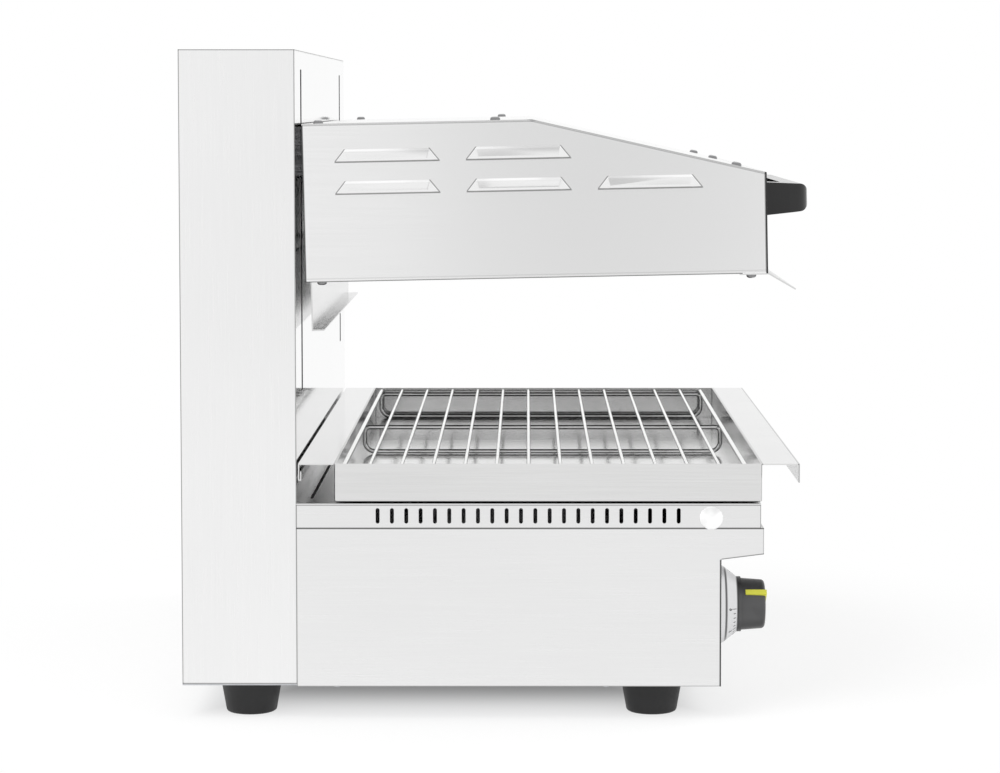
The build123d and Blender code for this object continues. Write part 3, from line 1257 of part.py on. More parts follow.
# ================================================================== tray and rack
with BuildPart() as drip_tray:
    with BuildSketch(level_plane(TRAY_BOTTOM)):
        box_between((-TRAY_HALF, -TRAY_FRONT), (TRAY_HALF, -TRAY_BACK))
    extrude(amount=TRAY_DEPTH)
    fillet(drip_tray.edges().filter_by(Axis.Z), radius=TRAY_CORNER)
    fillet(drip_tray.faces().sort_by(Axis.Z)[0].edges(), radius=TRAY_CORNER * 0.75)
    offset(amount=-TRAY_SHEET, openings=drip_tray.faces().sort_by(Axis.Z)[-1])
    # front wing with a turned-down lip, rear wing with a hemmed lip
    with BuildSketch(side_plane(0)):
        folded(
            [
                (TRAY_FRONT - TRAY_SHEET, TRAY_RIM), (TRAY_FRONT + FRONT_WING, TRAY_RIM),
                (TRAY_FRONT + FRONT_WING, TRAY_RIM - FRONT_LIP),
            ],
            TRAY_SHEET,
        )
        folded(
            [
                (TRAY_BACK - REAR_WING + HEM, TRAY_RIM - REAR_LIP * 0.45),
                (TRAY_BACK - REAR_WING + HEM, TRAY_RIM - REAR_LIP),
                (TRAY_BACK - REAR_WING, TRAY_RIM - REAR_LIP),
                (TRAY_BACK - REAR_WING, TRAY_RIM), (TRAY_BACK + TRAY_SHEET, TRAY_RIM),
            ],
            TRAY_SHEET,
        )
    extrude(amount=TRAY_HALF, both=True)
finish(drip_tray, "drip_tray")

rack_rear = TRAY_BACK + RACK_REAR
rack_front = rack_rear + RACK_SPAN
loop_low = TRAY_BOTTOM + TRAY_SHEET + REST_AIR + RACK_FRAME_D / 2
loop_high = loop_low + LOOP_HEIGHT
rod_z = loop_high + (RACK_FRAME_D + RACK_ROD_D) / 2 - RACK_WELD
frame_rod_z = rod_z - (RACK_FRAME_D - RACK_ROD_D) / 2      # tops flush with the thin rods
rack_mid = (rack_rear + rack_front) / 2
with BuildPart() as rack_loops:
    for x in LOOP_XS:
        with BuildLine(side_plane(x)) as loop:
            bend = FilletPolyline(
                (rack_rear, loop_low), (rack_front, loop_low), (rack_front, loop_high), (rack_rear, loop_high),
                radius=[LOOP_CORNER, LOOP_CORNER, LOOP_CORNER / 2, LOOP_CORNER / 2], close=True,
            )
        with BuildSketch(Plane(origin=bend @ 0, z_dir=bend % 0)):
            Circle(RACK_FRAME_D / 2)
        sweep(path=bend)
finish(rack_loops, "rack_loops")

with BuildPart() as rack_rods:
    with BuildSketch(side_plane(0)):
        with Locations((rack_rear, frame_rod_z), (rack_front, frame_rod_z)):
            Circle(RACK_FRAME_D / 2)
        with Locations((rack_mid, rod_z)):
            with GridLocations(RACK_PITCH, 1, RACK_RODS, 1):
                Circle(RACK_ROD_D / 2)
    extrude(amount=RACK_HALF, both=True)
finish(rack_rods, "rack_rods")
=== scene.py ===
"""Dressed model of a lift-top salamander grill.

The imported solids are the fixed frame.  This script gives every piece its finish, replaces
the moulded pieces by softened ones, and adds print, weld beads, the studio and the camera.
"""

import logging
import math
from contextlib import contextmanager
from dataclasses import dataclass
from enum import Enum
from typing import Iterator

import bpy
from mathutils import Matrix, Vector

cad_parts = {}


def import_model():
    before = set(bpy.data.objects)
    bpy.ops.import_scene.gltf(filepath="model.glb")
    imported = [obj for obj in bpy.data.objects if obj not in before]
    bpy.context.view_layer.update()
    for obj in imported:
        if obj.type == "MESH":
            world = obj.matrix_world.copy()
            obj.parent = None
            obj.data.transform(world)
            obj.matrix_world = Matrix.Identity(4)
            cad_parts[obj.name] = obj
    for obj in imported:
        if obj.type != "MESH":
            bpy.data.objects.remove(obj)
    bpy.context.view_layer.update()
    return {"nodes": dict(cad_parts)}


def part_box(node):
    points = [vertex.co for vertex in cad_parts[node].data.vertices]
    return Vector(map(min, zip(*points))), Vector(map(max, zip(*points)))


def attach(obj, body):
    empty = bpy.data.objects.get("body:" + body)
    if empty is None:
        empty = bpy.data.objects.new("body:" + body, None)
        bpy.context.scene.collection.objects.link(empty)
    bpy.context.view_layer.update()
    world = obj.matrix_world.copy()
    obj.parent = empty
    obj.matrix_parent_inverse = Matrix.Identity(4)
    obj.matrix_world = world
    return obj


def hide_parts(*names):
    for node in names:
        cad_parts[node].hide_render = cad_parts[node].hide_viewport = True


LOG = logging.getLogger("salamander")
MM = 0.001

Piece = bpy.types.Object
Shader = bpy.types.Node
Socket = bpy.types.NodeSocket
Sockets = tuple[Socket, ...]
Inputs = bpy.types.NodeInputs
Colour = tuple[float, float, float]
Axis3 = tuple[float, float, float]

MERGE = 0.02 * MM  # points nearer than this are one
FLAT = math.radians(0.6)  # faces that turn less than this are one
SHARP = math.radians(35.0)  # edges that turn more than this are rounded
SENSOR = 36.0  # width of the camera's sensor, in millimetres


# ---------------- workbench helpers
def deselect() -> None:
    """Leave nothing selected."""
    bpy.ops.object.select_all(action="DESELECT")


def activate(piece: Piece) -> None:
    """Select one object alone and make it active."""
    deselect()
    piece.select_set(True)
    bpy.context.view_layer.objects.active = piece


@contextmanager
def editing(piece: Piece) -> Iterator[None]:
    """Edit mode on one object, with all of its mesh selected at the start.

    Args:
        piece: the mesh object to edit.
    """
    activate(piece)
    bpy.ops.object.mode_set(mode="EDIT")
    bpy.ops.mesh.select_all(action="SELECT")
    yield
    bpy.ops.object.mode_set(mode="OBJECT")


def modify(piece: Piece, kind: str, **settings: object) -> None:
    """Add a modifier with its settings and apply it.

    Args:
        piece: the mesh object.
        kind: the modifier's type.
        settings: its properties.
    """
    activate(piece)
    modifier = piece.modifiers.new(kind.lower(), kind)
    for key, value in settings.items():
        setattr(modifier, key, value)
    bpy.ops.object.modifier_apply(modifier=modifier.name)


def settle(piece: Piece, smooth: float = 32.0) -> Piece:
    """Put an object's place into its mesh and shade it smooth by angle.

    Args:
        piece: the mesh object.
        smooth: the largest angle between faces that are shaded as one, in degrees.

    Returns:
        The same object, at the origin.
    """
    activate(piece)
    bpy.ops.object.transform_apply(location=True, rotation=True, scale=True)
    bpy.ops.object.shade_smooth_by_angle(angle=math.radians(smooth))
    return piece


def joined(pieces: list[Piece], name: str) -> Piece:
    """Join several mesh objects into one with the given name."""
    activate(pieces[0])
    for piece in pieces:
        piece.select_set(True)
    bpy.ops.object.join()
    result = bpy.context.view_layer.objects.active
    result.name = result.data.name = name
    return result


def plane(width: float, height: float) -> Piece:
    """Flat rectangle in XY, centred on the origin."""
    bpy.ops.mesh.primitive_plane_add(size=1.0, location=(0, 0, 0))
    piece = bpy.context.active_object
    with editing(piece):
        bpy.ops.transform.resize(value=(width, height, 1.0), center_override=(0, 0, 0))
    return piece


def mounted(piece: Piece, body: str, replaces: tuple[str, ...] = ()) -> None:
    """Ride a finished piece on its body and hide what it stands for.

    Args:
        piece: the finished object.
        body: the CAD body that it moves with.
        replaces: CAD nodes that are no longer shown.
    """
    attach(piece, body)
    if replaces:
        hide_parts(*replaces)
    LOG.info("%s: %d faces on %s", piece.name, len(piece.data.polygons), body)


def reworked(node: str, ending: str, body: str, width: float, segments: int = 2) -> Piece:
    """Copy of a CAD node with its sharp edges rounded over, riding on its body in the node's place.

    Args:
        node: the CAD node.
        ending: what the new piece's name adds to the node's.
        body: the CAD body that it moves with.
        width: the width of the rounding, in metres.
        segments: faces across the rounding.

    Returns:
        The new object.
    """
    name = f"{node}_{ending}"
    piece = bpy.data.objects.new(name, bpy.data.objects[node].data.copy())
    bpy.context.scene.collection.objects.link(piece)
    piece.data.name = name
    activate(piece)
    if piece.data.has_custom_normals:
        bpy.ops.mesh.customdata_custom_splitnormals_clear()
    with editing(piece):
        bpy.ops.mesh.remove_doubles(threshold=MERGE)
        bpy.ops.mesh.dissolve_limited(angle_limit=FLAT)
        bpy.ops.mesh.normals_make_consistent(inside=False)
    modify(
        piece, "BEVEL", width=width, segments=segments, limit_method="ANGLE",
        angle_limit=SHARP, harden_normals=False, use_clamp_overlap=True,
    )
    settle(piece)
    modify(piece, "WEIGHTED_NORMAL", weight=100, keep_sharp=True)
    mounted(piece, body, (node,))
    return piece


# ---------------- node trees
class Tree:
    """One node tree, with short ways to add and join its nodes."""

    def __init__(self, tree: bpy.types.NodeTree) -> None:
        """Take hold of a tree."""
        self.tree = tree

    def add(self, kind: str, inputs: dict[str | int, object] | None = None, **settings: object) -> Shader:
        """Add a node.

        Args:
            kind: the node's type without its ShaderNode prefix.
            inputs: plain values or source sockets by input name or number.
            settings: properties of the node.

        Returns:
            The new node.
        """
        node = self.tree.nodes.new("ShaderNode" + kind)
        for key, value in settings.items():
            setattr(node, key, value)
        for key, value in (inputs or {}).items():
            self.feed(node.inputs[key], value)
        return node

    def feed(self, socket: Socket, value: object) -> None:
        """Link a source socket, or set a plain value, on an input."""
        if isinstance(value, Socket):
            self.tree.links.new(value, socket)
        else:
            socket.default_value = value

    def math(self, operation: str, *values: object, clamp: bool = False) -> Socket:
        """Add a Math node and return its output."""
        node = self.add("Math", dict(enumerate(values)), operation=operation, use_clamp=clamp)
        return node.outputs[0]

    def times(self, a: object, b: object) -> Socket:
        """Product of two numbers."""
        return self.math("MULTIPLY", a, b)

    def plus(self, a: object, b: object) -> Socket:
        """Sum of two numbers."""
        return self.math("ADD", a, b)

    def minus(self, a: object, b: object) -> Socket:
        """Difference of two numbers."""
        return self.math("SUBTRACT", a, b)

    def shaded(self, tone: object, mask: object, dark: float) -> Socket:
        """Darken a tone by a share where a mask is one."""
        return self.times(tone, self.minus(1.0, self.times(mask, dark)))

    def dot(self, a: object, b: object) -> Socket:
        """Dot product of two vectors."""
        return self.add("VectorMath", {0: a, 1: b}, operation="DOT_PRODUCT").outputs["Value"]

    def stretched(self, a: object, b: object) -> Socket:
        """Product of two vectors, axis by axis."""
        return self.add("VectorMath", {0: a, 1: b}, operation="MULTIPLY").outputs[0]

    def scaled(self, vector: object, share: object) -> Socket:
        """Vector or colour times a number."""
        return self.add("VectorMath", {0: vector, "Scale": share}, operation="SCALE").outputs[0]

    def noise(self, place: Socket, scale: object, detail: float, roughness: float = 0.5) -> Socket:
        """Noise at a place, around one half."""
        given = {"Vector": place, "Scale": scale, "Detail": detail, "Roughness": roughness}
        return self.add("TexNoise", given).outputs["Fac"]

    def ramp(self, value: object, low: float, high: float, to_low: float, to_high: float) -> Socket:
        """Map a value smoothly from one range to another."""
        given = {"Value": value, "From Min": low, "From Max": high, "To Min": to_low, "To Max": to_high}
        return self.add("MapRange", given, interpolation_type="SMOOTHSTEP").outputs["Result"]

    def mix(self, factor: object, a: object, b: object) -> Socket:
        """Mix two colours by a factor and return the colour."""
        node = self.add("Mix", data_type="RGBA")
        self.feed(node.inputs["Factor"], factor)
        self.feed(node.inputs[6], a)
        self.feed(node.inputs[7], b)
        return node.outputs[2]

    def blend(self, factor: object, a: Shader, b: Shader) -> Shader:
        """Mix two shaders by a factor."""
        return self.add("MixShader", {0: factor, 1: a.outputs[0], 2: b.outputs[0]})

    def glow(self, level: float, strength: object = 1.0) -> Shader:
        """Shader that gives off a grey."""
        return self.add("Emission", {"Color": (*grey(level), 1.0), "Strength": strength})

    def seen(self) -> Socket:
        """One for rays that show a surface itself, nothing for rays that only light others."""
        path = self.add("LightPath").outputs
        direct = self.math("MAXIMUM", path["Is Camera Ray"], path["Is Glossy Ray"])
        return self.math("MAXIMUM", direct, path["Is Transmission Ray"])

    def show(self, shader: Shader, kind: str = "Material") -> None:
        """Join a shader to the tree's output."""
        self.feed(self.add("Output" + kind).inputs["Surface"], shader.outputs[0])


def blank(owner: bpy.types.Material | bpy.types.World) -> Tree:
    """Emptied node tree of a material or world."""
    owner.use_nodes = True
    owner.node_tree.nodes.clear()
    return Tree(owner.node_tree)


def grey(level: float) -> Colour:
    """Neutral colour of a level."""
    return (level, level, level)


# widths of a louvre's painted shade outline and painted crease highlight, and the drop of its crease below
# its top
END_LINE = 0.7 * MM
SILL_LINE = 0.9 * MM
CREASE_LINE = 1.1 * MM
CREASE_DROP = 1.0 * MM


def near_zero(tree: Tree, value: Socket, width: float) -> Socket:
    """One where a distance is nothing, falling to nothing at a width either side."""
    return tree.ramp(tree.math("ABSOLUTE", value), 0.4 * width, width, 1.0, 0.0)


class Effect(Enum):
    """Shared effects, each built once as a node group."""

    GRAIN = "brushed_grain"
    CLOUD = "soft_cloud"
    LINE = "fold_shade_line"
    SPAN = "between_planes"
    SPECKLE = "fine_speckle"
    BEADS = "worn_rim"
    RIM = "painted_rim_shade"
    LOUVRE = "louvre_shade_and_highlight"


class Effects:
    """Builds the shared node groups and places them in materials."""

    SOCKETS = {
        Effect.GRAIN: ("Position Fineness", "Depth", "Height Mask"),
        Effect.CLOUD: ("Position Fineness", "Low High", "Value"),
        Effect.LINE: ("Position Normal Across", "Offset Width", "Mask"),
        Effect.SPAN: ("Position Across", "Low High", "Mask"),
        Effect.SPECKLE: ("Position", "Fineness Depth", "Height Mask"),
        Effect.BEADS: ("Position", "Fineness", "Mask"),
        Effect.RIM: ("Normal Axis", "Low High", "Mask"),
        Effect.LOUVRE: ("", "Along Above Count Pitch Length Height Slant", "Dark Bright"),
    }

    def __init__(self) -> None:
        """Build all the groups."""
        self.groups = {effect: self.group(effect) for effect in Effect}

    def group(self, effect: Effect) -> bpy.types.NodeTree:
        """Build one group with its named sockets.

        Args:
            effect: which effect.

        Returns:
            The group's tree.
        """
        tree = bpy.data.node_groups.new(effect.value, "ShaderNodeTree")
        vectors, numbers, results = (names.split() for names in self.SOCKETS[effect])
        for names, side, kind in (
            (vectors, "INPUT", "Vector"), (numbers, "INPUT", "Float"), (results, "OUTPUT", "Float"),
        ):
            for name in names:
                tree.interface.new_socket(name=name, in_out=side, socket_type=f"NodeSocket{kind}")
        start, end = tree.nodes.new("NodeGroupInput"), tree.nodes.new("NodeGroupOutput")
        made = getattr(self, effect.name.lower())(Tree(tree), start.outputs)
        for socket, result in zip(end.inputs, made):
            tree.links.new(result, socket)
        return tree

    @staticmethod
    def grain(tree: Tree, given: Inputs) -> Sockets:
        """Fine scratches drawn out along one direction, with a few longer ones."""
        place = tree.stretched(given["Position"], given["Fineness"])
        fine = tree.noise(place, 1.0, 4.0, 0.62)
        broad = tree.noise(tree.scaled(place, 0.21), 1.0, 2.0)
        both = tree.plus(tree.times(fine, 0.8), tree.times(broad, 0.2))
        return tree.times(both, given["Depth"]), tree.ramp(both, 0.36, 0.64, 0.0, 1.0)

    @staticmethod
    def cloud(tree: Tree, given: Inputs) -> Sockets:
        """Broad soft variation between a low and a high value."""
        noise = tree.noise(tree.stretched(given["Position"], given["Fineness"]), 1.0, 2.0, 0.45)
        share = tree.ramp(noise, 0.3, 0.7, 0.0, 1.0)
        return (tree.plus(tree.times(share, tree.minus(given["High"], given["Low"])), given["Low"]),)

    @staticmethod
    def line(tree: Tree, given: Inputs) -> Sockets:
        """Mask of a painted shade line where a surface crosses a plane, left off faces that lie in the plane.
        """
        along = tree.dot(given["Position"], given["Across"])
        away = tree.math("ABSOLUTE", tree.minus(along, given["Offset"]))
        share = tree.math("DIVIDE", away, given["Width"])
        facing = tree.math("ABSOLUTE", tree.dot(given["Normal"], given["Across"]))
        square = tree.ramp(facing, 0.75, 0.95, 1.0, 0.0)
        return (tree.times(tree.ramp(share, 0.35, 1.0, 1.0, 0.0), square),)

    @staticmethod
    def span(tree: Tree, given: Inputs) -> Sockets:
        """One between two parallel planes and nothing beyond them."""
        along = tree.dot(given["Position"], given["Across"])
        above = tree.math("GREATER_THAN", along, given["Low"])
        return (tree.times(above, tree.math("LESS_THAN", along, given["High"])),)

    @staticmethod
    def speckle(tree: Tree, given: Inputs) -> Sockets:
        """Fine moulded texture and a slow mottle."""
        fine = tree.noise(given["Position"], given["Fineness"], 3.0, 0.6)
        slow = tree.noise(given["Position"], 45.0, 2.0)
        return tree.times(fine, given["Depth"]), tree.ramp(slow, 0.35, 0.65, 0.0, 1.0)

    @staticmethod
    def beads(tree: Tree, given: Inputs) -> Sockets:
        """Small rubbed spots where a surface has been handled."""
        spread = {"Vector": given["Position"], "Scale": given["Fineness"], "Randomness": 1.0}
        return (tree.ramp(tree.add("TexVoronoi", spread).outputs["Distance"], 0.04, 0.2, 1.0, 0.0),)

    @staticmethod
    def rim(tree: Tree, given: Inputs) -> Sockets:
        """Mask for painted shade: one where the surface faces along an axis, either way, and nothing where it
        is square to it.
        """
        facing = tree.math("ABSOLUTE", tree.dot(given["Normal"], given["Axis"]))
        return (tree.ramp(facing, given["Low"], given["High"], 0.0, 1.0),)

    @staticmethod
    def louvre(tree: Tree, given: Inputs) -> Sockets:
        """Painted shade at the sill and slanted ends, and a painted highlight on the top crease, for a row of
        equal louvres.
        """
        step = tree.math("FLOOR", tree.math("DIVIDE", given["Along"], given["Pitch"]))
        within = tree.minus(given["Along"], tree.times(step, given["Pitch"]))
        middle = tree.times(tree.minus(given["Count"], 1.0), 0.5)
        in_row = tree.math("COMPARE", step, middle, tree.times(given["Count"], 0.5))
        share = tree.math("DIVIDE", given["Above"], given["Height"])
        inset = tree.times(share, given["Slant"])
        sides = (tree.minus(within, inset), tree.minus(tree.minus(given["Length"], within), inset))
        high = tree.math("COMPARE", share, 0.5, 0.5)
        ends = tree.math("MAXIMUM", *(near_zero(tree, side, END_LINE) for side in sides))
        along = tree.times(*(tree.math("GREATER_THAN", side, 0.0) for side in sides))
        sill = tree.times(near_zero(tree, given["Above"], SILL_LINE), along)
        dark = tree.math("MAXIMUM", tree.times(ends, high), sill)
        crease = tree.minus(tree.minus(given["Height"], given["Above"]), CREASE_DROP)
        bright = tree.times(near_zero(tree, crease, CREASE_LINE), along)
        return tree.times(dark, in_row), tree.times(bright, in_row)


class Canvas(Tree):
    """A material's tree with its shader, the place and normal in the rest frame, and the effects."""

    def __init__(self, material: bpy.types.Material, effects: Effects) -> None:
        """Empty a material and give it a principled shader."""
        super().__init__(blank(material).tree)
        self.effects = effects
        self.shader = self.add("BsdfPrincipled")
        self.show(self.shader)
        places = self.add("TexCoord").outputs
        self.given = {"Position": places["Object"], "Normal": places["Normal"]}

    def effect(self, effect: Effect, **inputs: object) -> bpy.types.NodeOutputs:
        """Put a group in the material, with the place and the normal where it takes them.

        Args:
            effect: which group.
            inputs: values or sockets by name.

        Returns:
            The group node's outputs.
        """
        node = self.add("Group", node_tree=self.effects.groups[effect])
        for key, value in (self.given | inputs).items():
            if key in node.inputs:
                self.feed(node.inputs[key], value)
        return node.outputs

    def rimmed(self, tone: Socket, rims: tuple["Rim", ...]) -> Socket:
        """Darken a tone by a piece's rims of painted shade."""
        for rim in rims:
            band = self.effect(Effect.RIM, Axis=rim.axis, Low=rim.low, High=rim.high)
            tone = self.shaded(tone, band["Mask"], rim.tone)
        return tone

    def dress(self, colour: Socket, rough: Socket, bump: tuple[float, float, Socket], **plain: float) -> None:
        """Feed the shader.

        Args:
            colour: the base colour.
            rough: the roughness.
            bump: its strength, its distance in metres and its height.
            plain: plain values of other inputs, with _ for a space.
        """
        relief = self.add("Bump", dict(zip(("Strength", "Distance", "Height"), bump))).outputs[0]
        values = {"Base Color": colour, "Roughness": rough, "Normal": relief}
        for name, value in (values | plain).items():
            self.feed(self.shader.inputs[name.replace("_", " ")], value)


# ---------------- finishes
class Grain(Enum):
    """Direction that a sheet was brushed in, as fineness along X, Y and Z."""

    ALONG_X = (14.0, 1500.0, 1500.0)
    ALONG_Y = (1500.0, 14.0, 1500.0)
    ALONG_Z = (1500.0, 1500.0, 14.0)
    POLISHED = (60.0, 60.0, 60.0)


CLOUDS = (5.0, 4.0, 6.0)  # fineness of the slow clouds on steel


@dataclass(frozen=True)
class ShadeLine:
    """Thin line of painted shade where a sheet folds or meets its neighbour.

    Attributes:
        across: unit direction square to the line's plane.
        offset: distance of the plane from the origin along it, in metres.
        width: half width of the line, in metres.
        tone: how dark it is, from 0 to 1.
        spans: pairs of planes that it stays between, as (direction, low, high).
    """

    across: Axis3
    offset: float
    width: float = 0.8 * MM
    tone: float = 0.5
    spans: tuple[tuple[Axis3, float, float], ...] = ()


@dataclass(frozen=True)
class Rim:
    """Band of painted shade on a round piece where its surface turns towards an axis.

    Attributes:
        axis: the direction, taken both ways.
        low: share of the normal along the axis where the band starts.
        high: share where it is full.
        tone: how dark it is, from 0 to 1.
    """

    axis: Axis3
    low: float
    high: float
    tone: float


@dataclass(frozen=True)
class LouvreRow:
    """Row of equal louvres on a side panel of the head, drawn with painted shade and a painted highlight.

    Attributes:
        forward: unit direction along the row.
        start: distance of the first louvre's rear end from the origin along it.
        up: unit direction square to the row.
        sill: distance of the sills from the origin along it.
        count: how many louvres.
        pitch: from one to the next.
        length: along the sill.
        height: from sill to top.
        slant: how far each end leans in.
        dark: how dark the painted shade outline is, from 0 to 1.
        bright: how bright the painted crease highlight is, from 0 to 1.
    """

    forward: Axis3
    start: float
    up: Axis3
    sill: float
    count: int
    pitch: float = 102.8 * MM
    length: float = 82.0 * MM
    height: float = 10.0 * MM
    slant: float = 8.0 * MM
    dark: float = 0.62
    bright: float = 0.22


@dataclass(frozen=True)
class Finish:
    """Base of all finishes: a name and a linear base colour."""

    name: str
    colour: Colour

    def material(self, effects: Effects) -> bpy.types.Material:
        """Build the material, or return it if it is there already."""
        found = bpy.data.materials.get(self.name)
        if found:
            return found
        made = bpy.data.materials.new(self.name)
        self.dress(Canvas(made, effects))
        made.diffuse_color = (*self.colour, 1.0)
        return made

    def dress(self, on: Canvas) -> None:
        """Add what the finish shows to a material."""
        raise NotImplementedError

    def rgb(self, share: float) -> tuple[float, float, float, float]:
        """The base colour times a share, with alpha."""
        return (*(min(1.0, channel * share) for channel in self.colour), 1.0)


@dataclass(frozen=True)
class Steel(Finish):
    """Brushed, polished or plated steel.

    Attributes:
        roughness: middle roughness.
        grain: brushing direction.
        depth: strength of the scratches' bump.
        uneven: how far roughness and tone vary.
        lines: painted shade lines at folds and seams.
        rims: bands of painted shade on a round piece.
        louvres: rows of louvres whose painted shade outlines and painted crease highlights are drawn.
    """

    roughness: float = 0.3
    grain: Grain = Grain.ALONG_Y
    depth: float = 0.06
    uneven: float = 0.3
    lines: tuple[ShadeLine, ...] = ()
    rims: tuple[Rim, ...] = ()
    louvres: tuple[LouvreRow, ...] = ()

    def folded(self, on: Canvas, tone: Socket) -> Socket:
        """Darken a tone along the painted shade lines."""
        for line in self.lines:
            fold = on.effect(Effect.LINE, Across=line.across, Offset=line.offset, Width=line.width)
            mask = fold["Mask"]
            for across, low, high in line.spans:
                mask = on.times(mask, on.effect(Effect.SPAN, Across=across, Low=low, High=high)["Mask"])
            tone = on.shaded(tone, mask, line.tone)
        return tone

    def louvred(self, on: Canvas, tone: Socket) -> Socket:
        """Darken the louvres' outlines with painted shade and brighten their creases with a painted
        highlight.
        """
        for row in self.louvres:
            outline = on.effect(
                Effect.LOUVRE, Along=on.minus(on.dot(on.given["Position"], row.forward), row.start),
                Above=on.minus(on.dot(on.given["Position"], row.up), row.sill), Count=float(row.count),
                Pitch=row.pitch, Length=row.length, Height=row.height, Slant=row.slant,
            )
            tone = on.shaded(tone, outline["Dark"], row.dark)
            tone = on.times(tone, on.plus(1.0, on.times(outline["Bright"], row.bright)))
        return tone

    def dress(self, on: Canvas) -> None:
        """Scratches, slow clouds, painted shade lines, painted louvre shade and highlights, and painted shade
        rims over metal.
        """
        scratch = on.effect(Effect.GRAIN, Fineness=self.grain.value, Depth=1.0)
        cloud = on.effect(Effect.CLOUD, Fineness=CLOUDS, Low=1.0 - 0.06 * self.uneven, High=1.0)
        tone = on.minus(cloud["Value"], on.times(scratch["Mask"], 0.05 * self.uneven))
        tone = on.rimmed(self.louvred(on, self.folded(on, tone)), self.rims)
        middle = self.roughness * (1.0 - 0.3 * self.uneven)
        more = on.times(scratch["Mask"], 0.6 * self.uneven * self.roughness)
        rough = on.math("ADD", middle, more, clamp=True)
        bump = (self.depth, 0.05 * MM, scratch["Height"])
        on.dress(on.scaled(self.colour, tone), rough, bump, Metallic=1.0)


def turned(name: str, colour: Colour, roughness: float, **more: object) -> Steel:
    """Steel that wasn't brushed: drawn wire, castings, turned and plated pieces."""
    return Steel(name, colour, roughness=roughness, grain=Grain.POLISHED, **more)


@dataclass(frozen=True)
class Moulded(Finish):
    """Moulded plastic or rubber with a fine texture.

    Attributes:
        roughness: middle roughness.
        fineness: texture cells per metre.
        depth: strength of its bump.
        rims: bands of painted shade on a round piece.
    """

    roughness: float = 0.4
    fineness: float = 1800.0
    depth: float = 0.12
    rims: tuple[Rim, ...] = ()

    def dress(self, on: Canvas) -> None:
        """Fine moulded texture, slow mottle, painted shade rims and rubbed spots."""
        speckle = on.effect(Effect.SPECKLE, Fineness=self.fineness, Depth=1.0)
        rubbed = on.effect(Effect.BEADS, Fineness=90.0)["Mask"]
        tone = on.rimmed(on.ramp(speckle["Mask"], 0.0, 1.0, 0.88, 1.1), self.rims)
        middle = on.plus(self.roughness * 0.9, on.times(speckle["Mask"], self.roughness * 0.25))
        rough = on.math("SUBTRACT", middle, on.times(rubbed, 0.04), clamp=True)
        on.dress(on.scaled(self.colour, tone), rough, (self.depth, 0.06 * MM, speckle["Height"]))


@dataclass(frozen=True)
class Lens(Finish):
    """Tinted clear plastic lens over an unlit lamp."""

    roughness: float = 0.12

    def dress(self, on: Canvas) -> None:
        """Ribbed amber plastic that lets some light through."""
        wave = {"Vector": on.given["Position"], "Scale": 160.0, "Distortion": 0.0}
        ribs = on.add("TexWave", wave, bands_direction="X").outputs["Fac"]
        rough = on.plus(self.roughness, on.times(ribs, 0.08))
        colour = on.mix(ribs, self.rgb(0.75), self.rgb(1.2))
        on.dress(colour, rough, (0.25, 0.1 * MM, ribs), Transmission_Weight=0.35, IOR=1.5)


@dataclass(frozen=True)
class Sheath(Finish):
    """Oxidised sheath of a heating element, heat-tinted along its length."""

    roughness: float = 0.55
    tint: Colour = (0.16, 0.115, 0.085)

    def dress(self, on: Canvas) -> None:
        """Dull dark metal with bands of heat tint and scale."""
        heat = on.effect(Effect.CLOUD, Fineness=(14.0, 40.0, 40.0), Low=0.0, High=1.0)["Value"]
        scale = on.effect(Effect.SPECKLE, Fineness=900.0, Depth=1.0)
        rough = on.plus(self.roughness, on.times(scale["Mask"], 0.15))
        warm = on.mix(heat, self.rgb(0.8), (*self.tint, 1.0))
        on.dress(warm, rough, (0.4, 0.1 * MM, scale["Height"]), Metallic=0.6)


@dataclass(frozen=True)
class Wool(Finish):
    """Pale mineral wool or fired ceramic, matt and fibrous."""

    fineness: float = 300.0

    def dress(self, on: Canvas) -> None:
        """Matt colour broken up by fibres."""
        fibre = on.effect(Effect.GRAIN, Fineness=(self.fineness, 40.0, self.fineness), Depth=1.0)
        colour = on.mix(fibre["Mask"], self.rgb(0.8), self.rgb(1.08))
        on.dress(colour, on.ramp(fibre["Mask"], 0.0, 1.0, 0.75, 0.95), (0.5, 0.4 * MM, fibre["Height"]))


@dataclass(frozen=True)
class Stranded(Finish):
    """Steel cable laid up from twisted strands."""

    def dress(self, on: Canvas) -> None:
        """Slanting strands with painted shade in the valleys between them."""
        slant = on.dot(on.given["Position"], (2600.0, 2600.0, 2200.0))
        strand = on.ramp(on.math("SINE", slant), -0.9, 0.6, 0.0, 1.0)
        colour = on.mix(strand, self.rgb(0.25), self.rgb(1.0))
        on.dress(colour, on.ramp(strand, 0.0, 1.0, 0.6, 0.3), (0.7, 0.3 * MM, strand), Metallic=1.0)


class Dresser:
    """Gives CAD nodes and new pieces their finishes."""

    def __init__(self, nodes: dict[str, Piece]) -> None:
        """Keep the CAD nodes and build the shared effects."""
        self.nodes = nodes
        self.effects = Effects()
        self.dressed: set[str] = set()

    def node(self, names: str, finish: Finish) -> None:
        """Put a finish on one CAD node, or on several with spaces between their names."""
        for name in names.split():
            self.piece(self.nodes[name], finish)
            self.dressed.add(name)

    def piece(self, piece: Piece, finish: Finish) -> None:
        """Put a finish on any mesh object."""
        material = finish.material(self.effects)
        if not piece.data.materials:
            piece.data.materials.append(material)
        for index in range(len(piece.data.materials)):
            piece.data.materials[index] = material


# ---------------- colours
STAINLESS = grey(0.865)
MIRROR = grey(0.9)
TRAY: Colour = (0.76, 0.76, 0.758)
ZINC: Colour = (0.58, 0.59, 0.61)
CAST: Colour = (0.16, 0.16, 0.165)
NYLON: Colour = (0.03, 0.03, 0.03)
UP: Axis3 = (0.0, 0.0, 1.0)
FORWARD: Axis3 = (0.0, 1.0, 0.0)


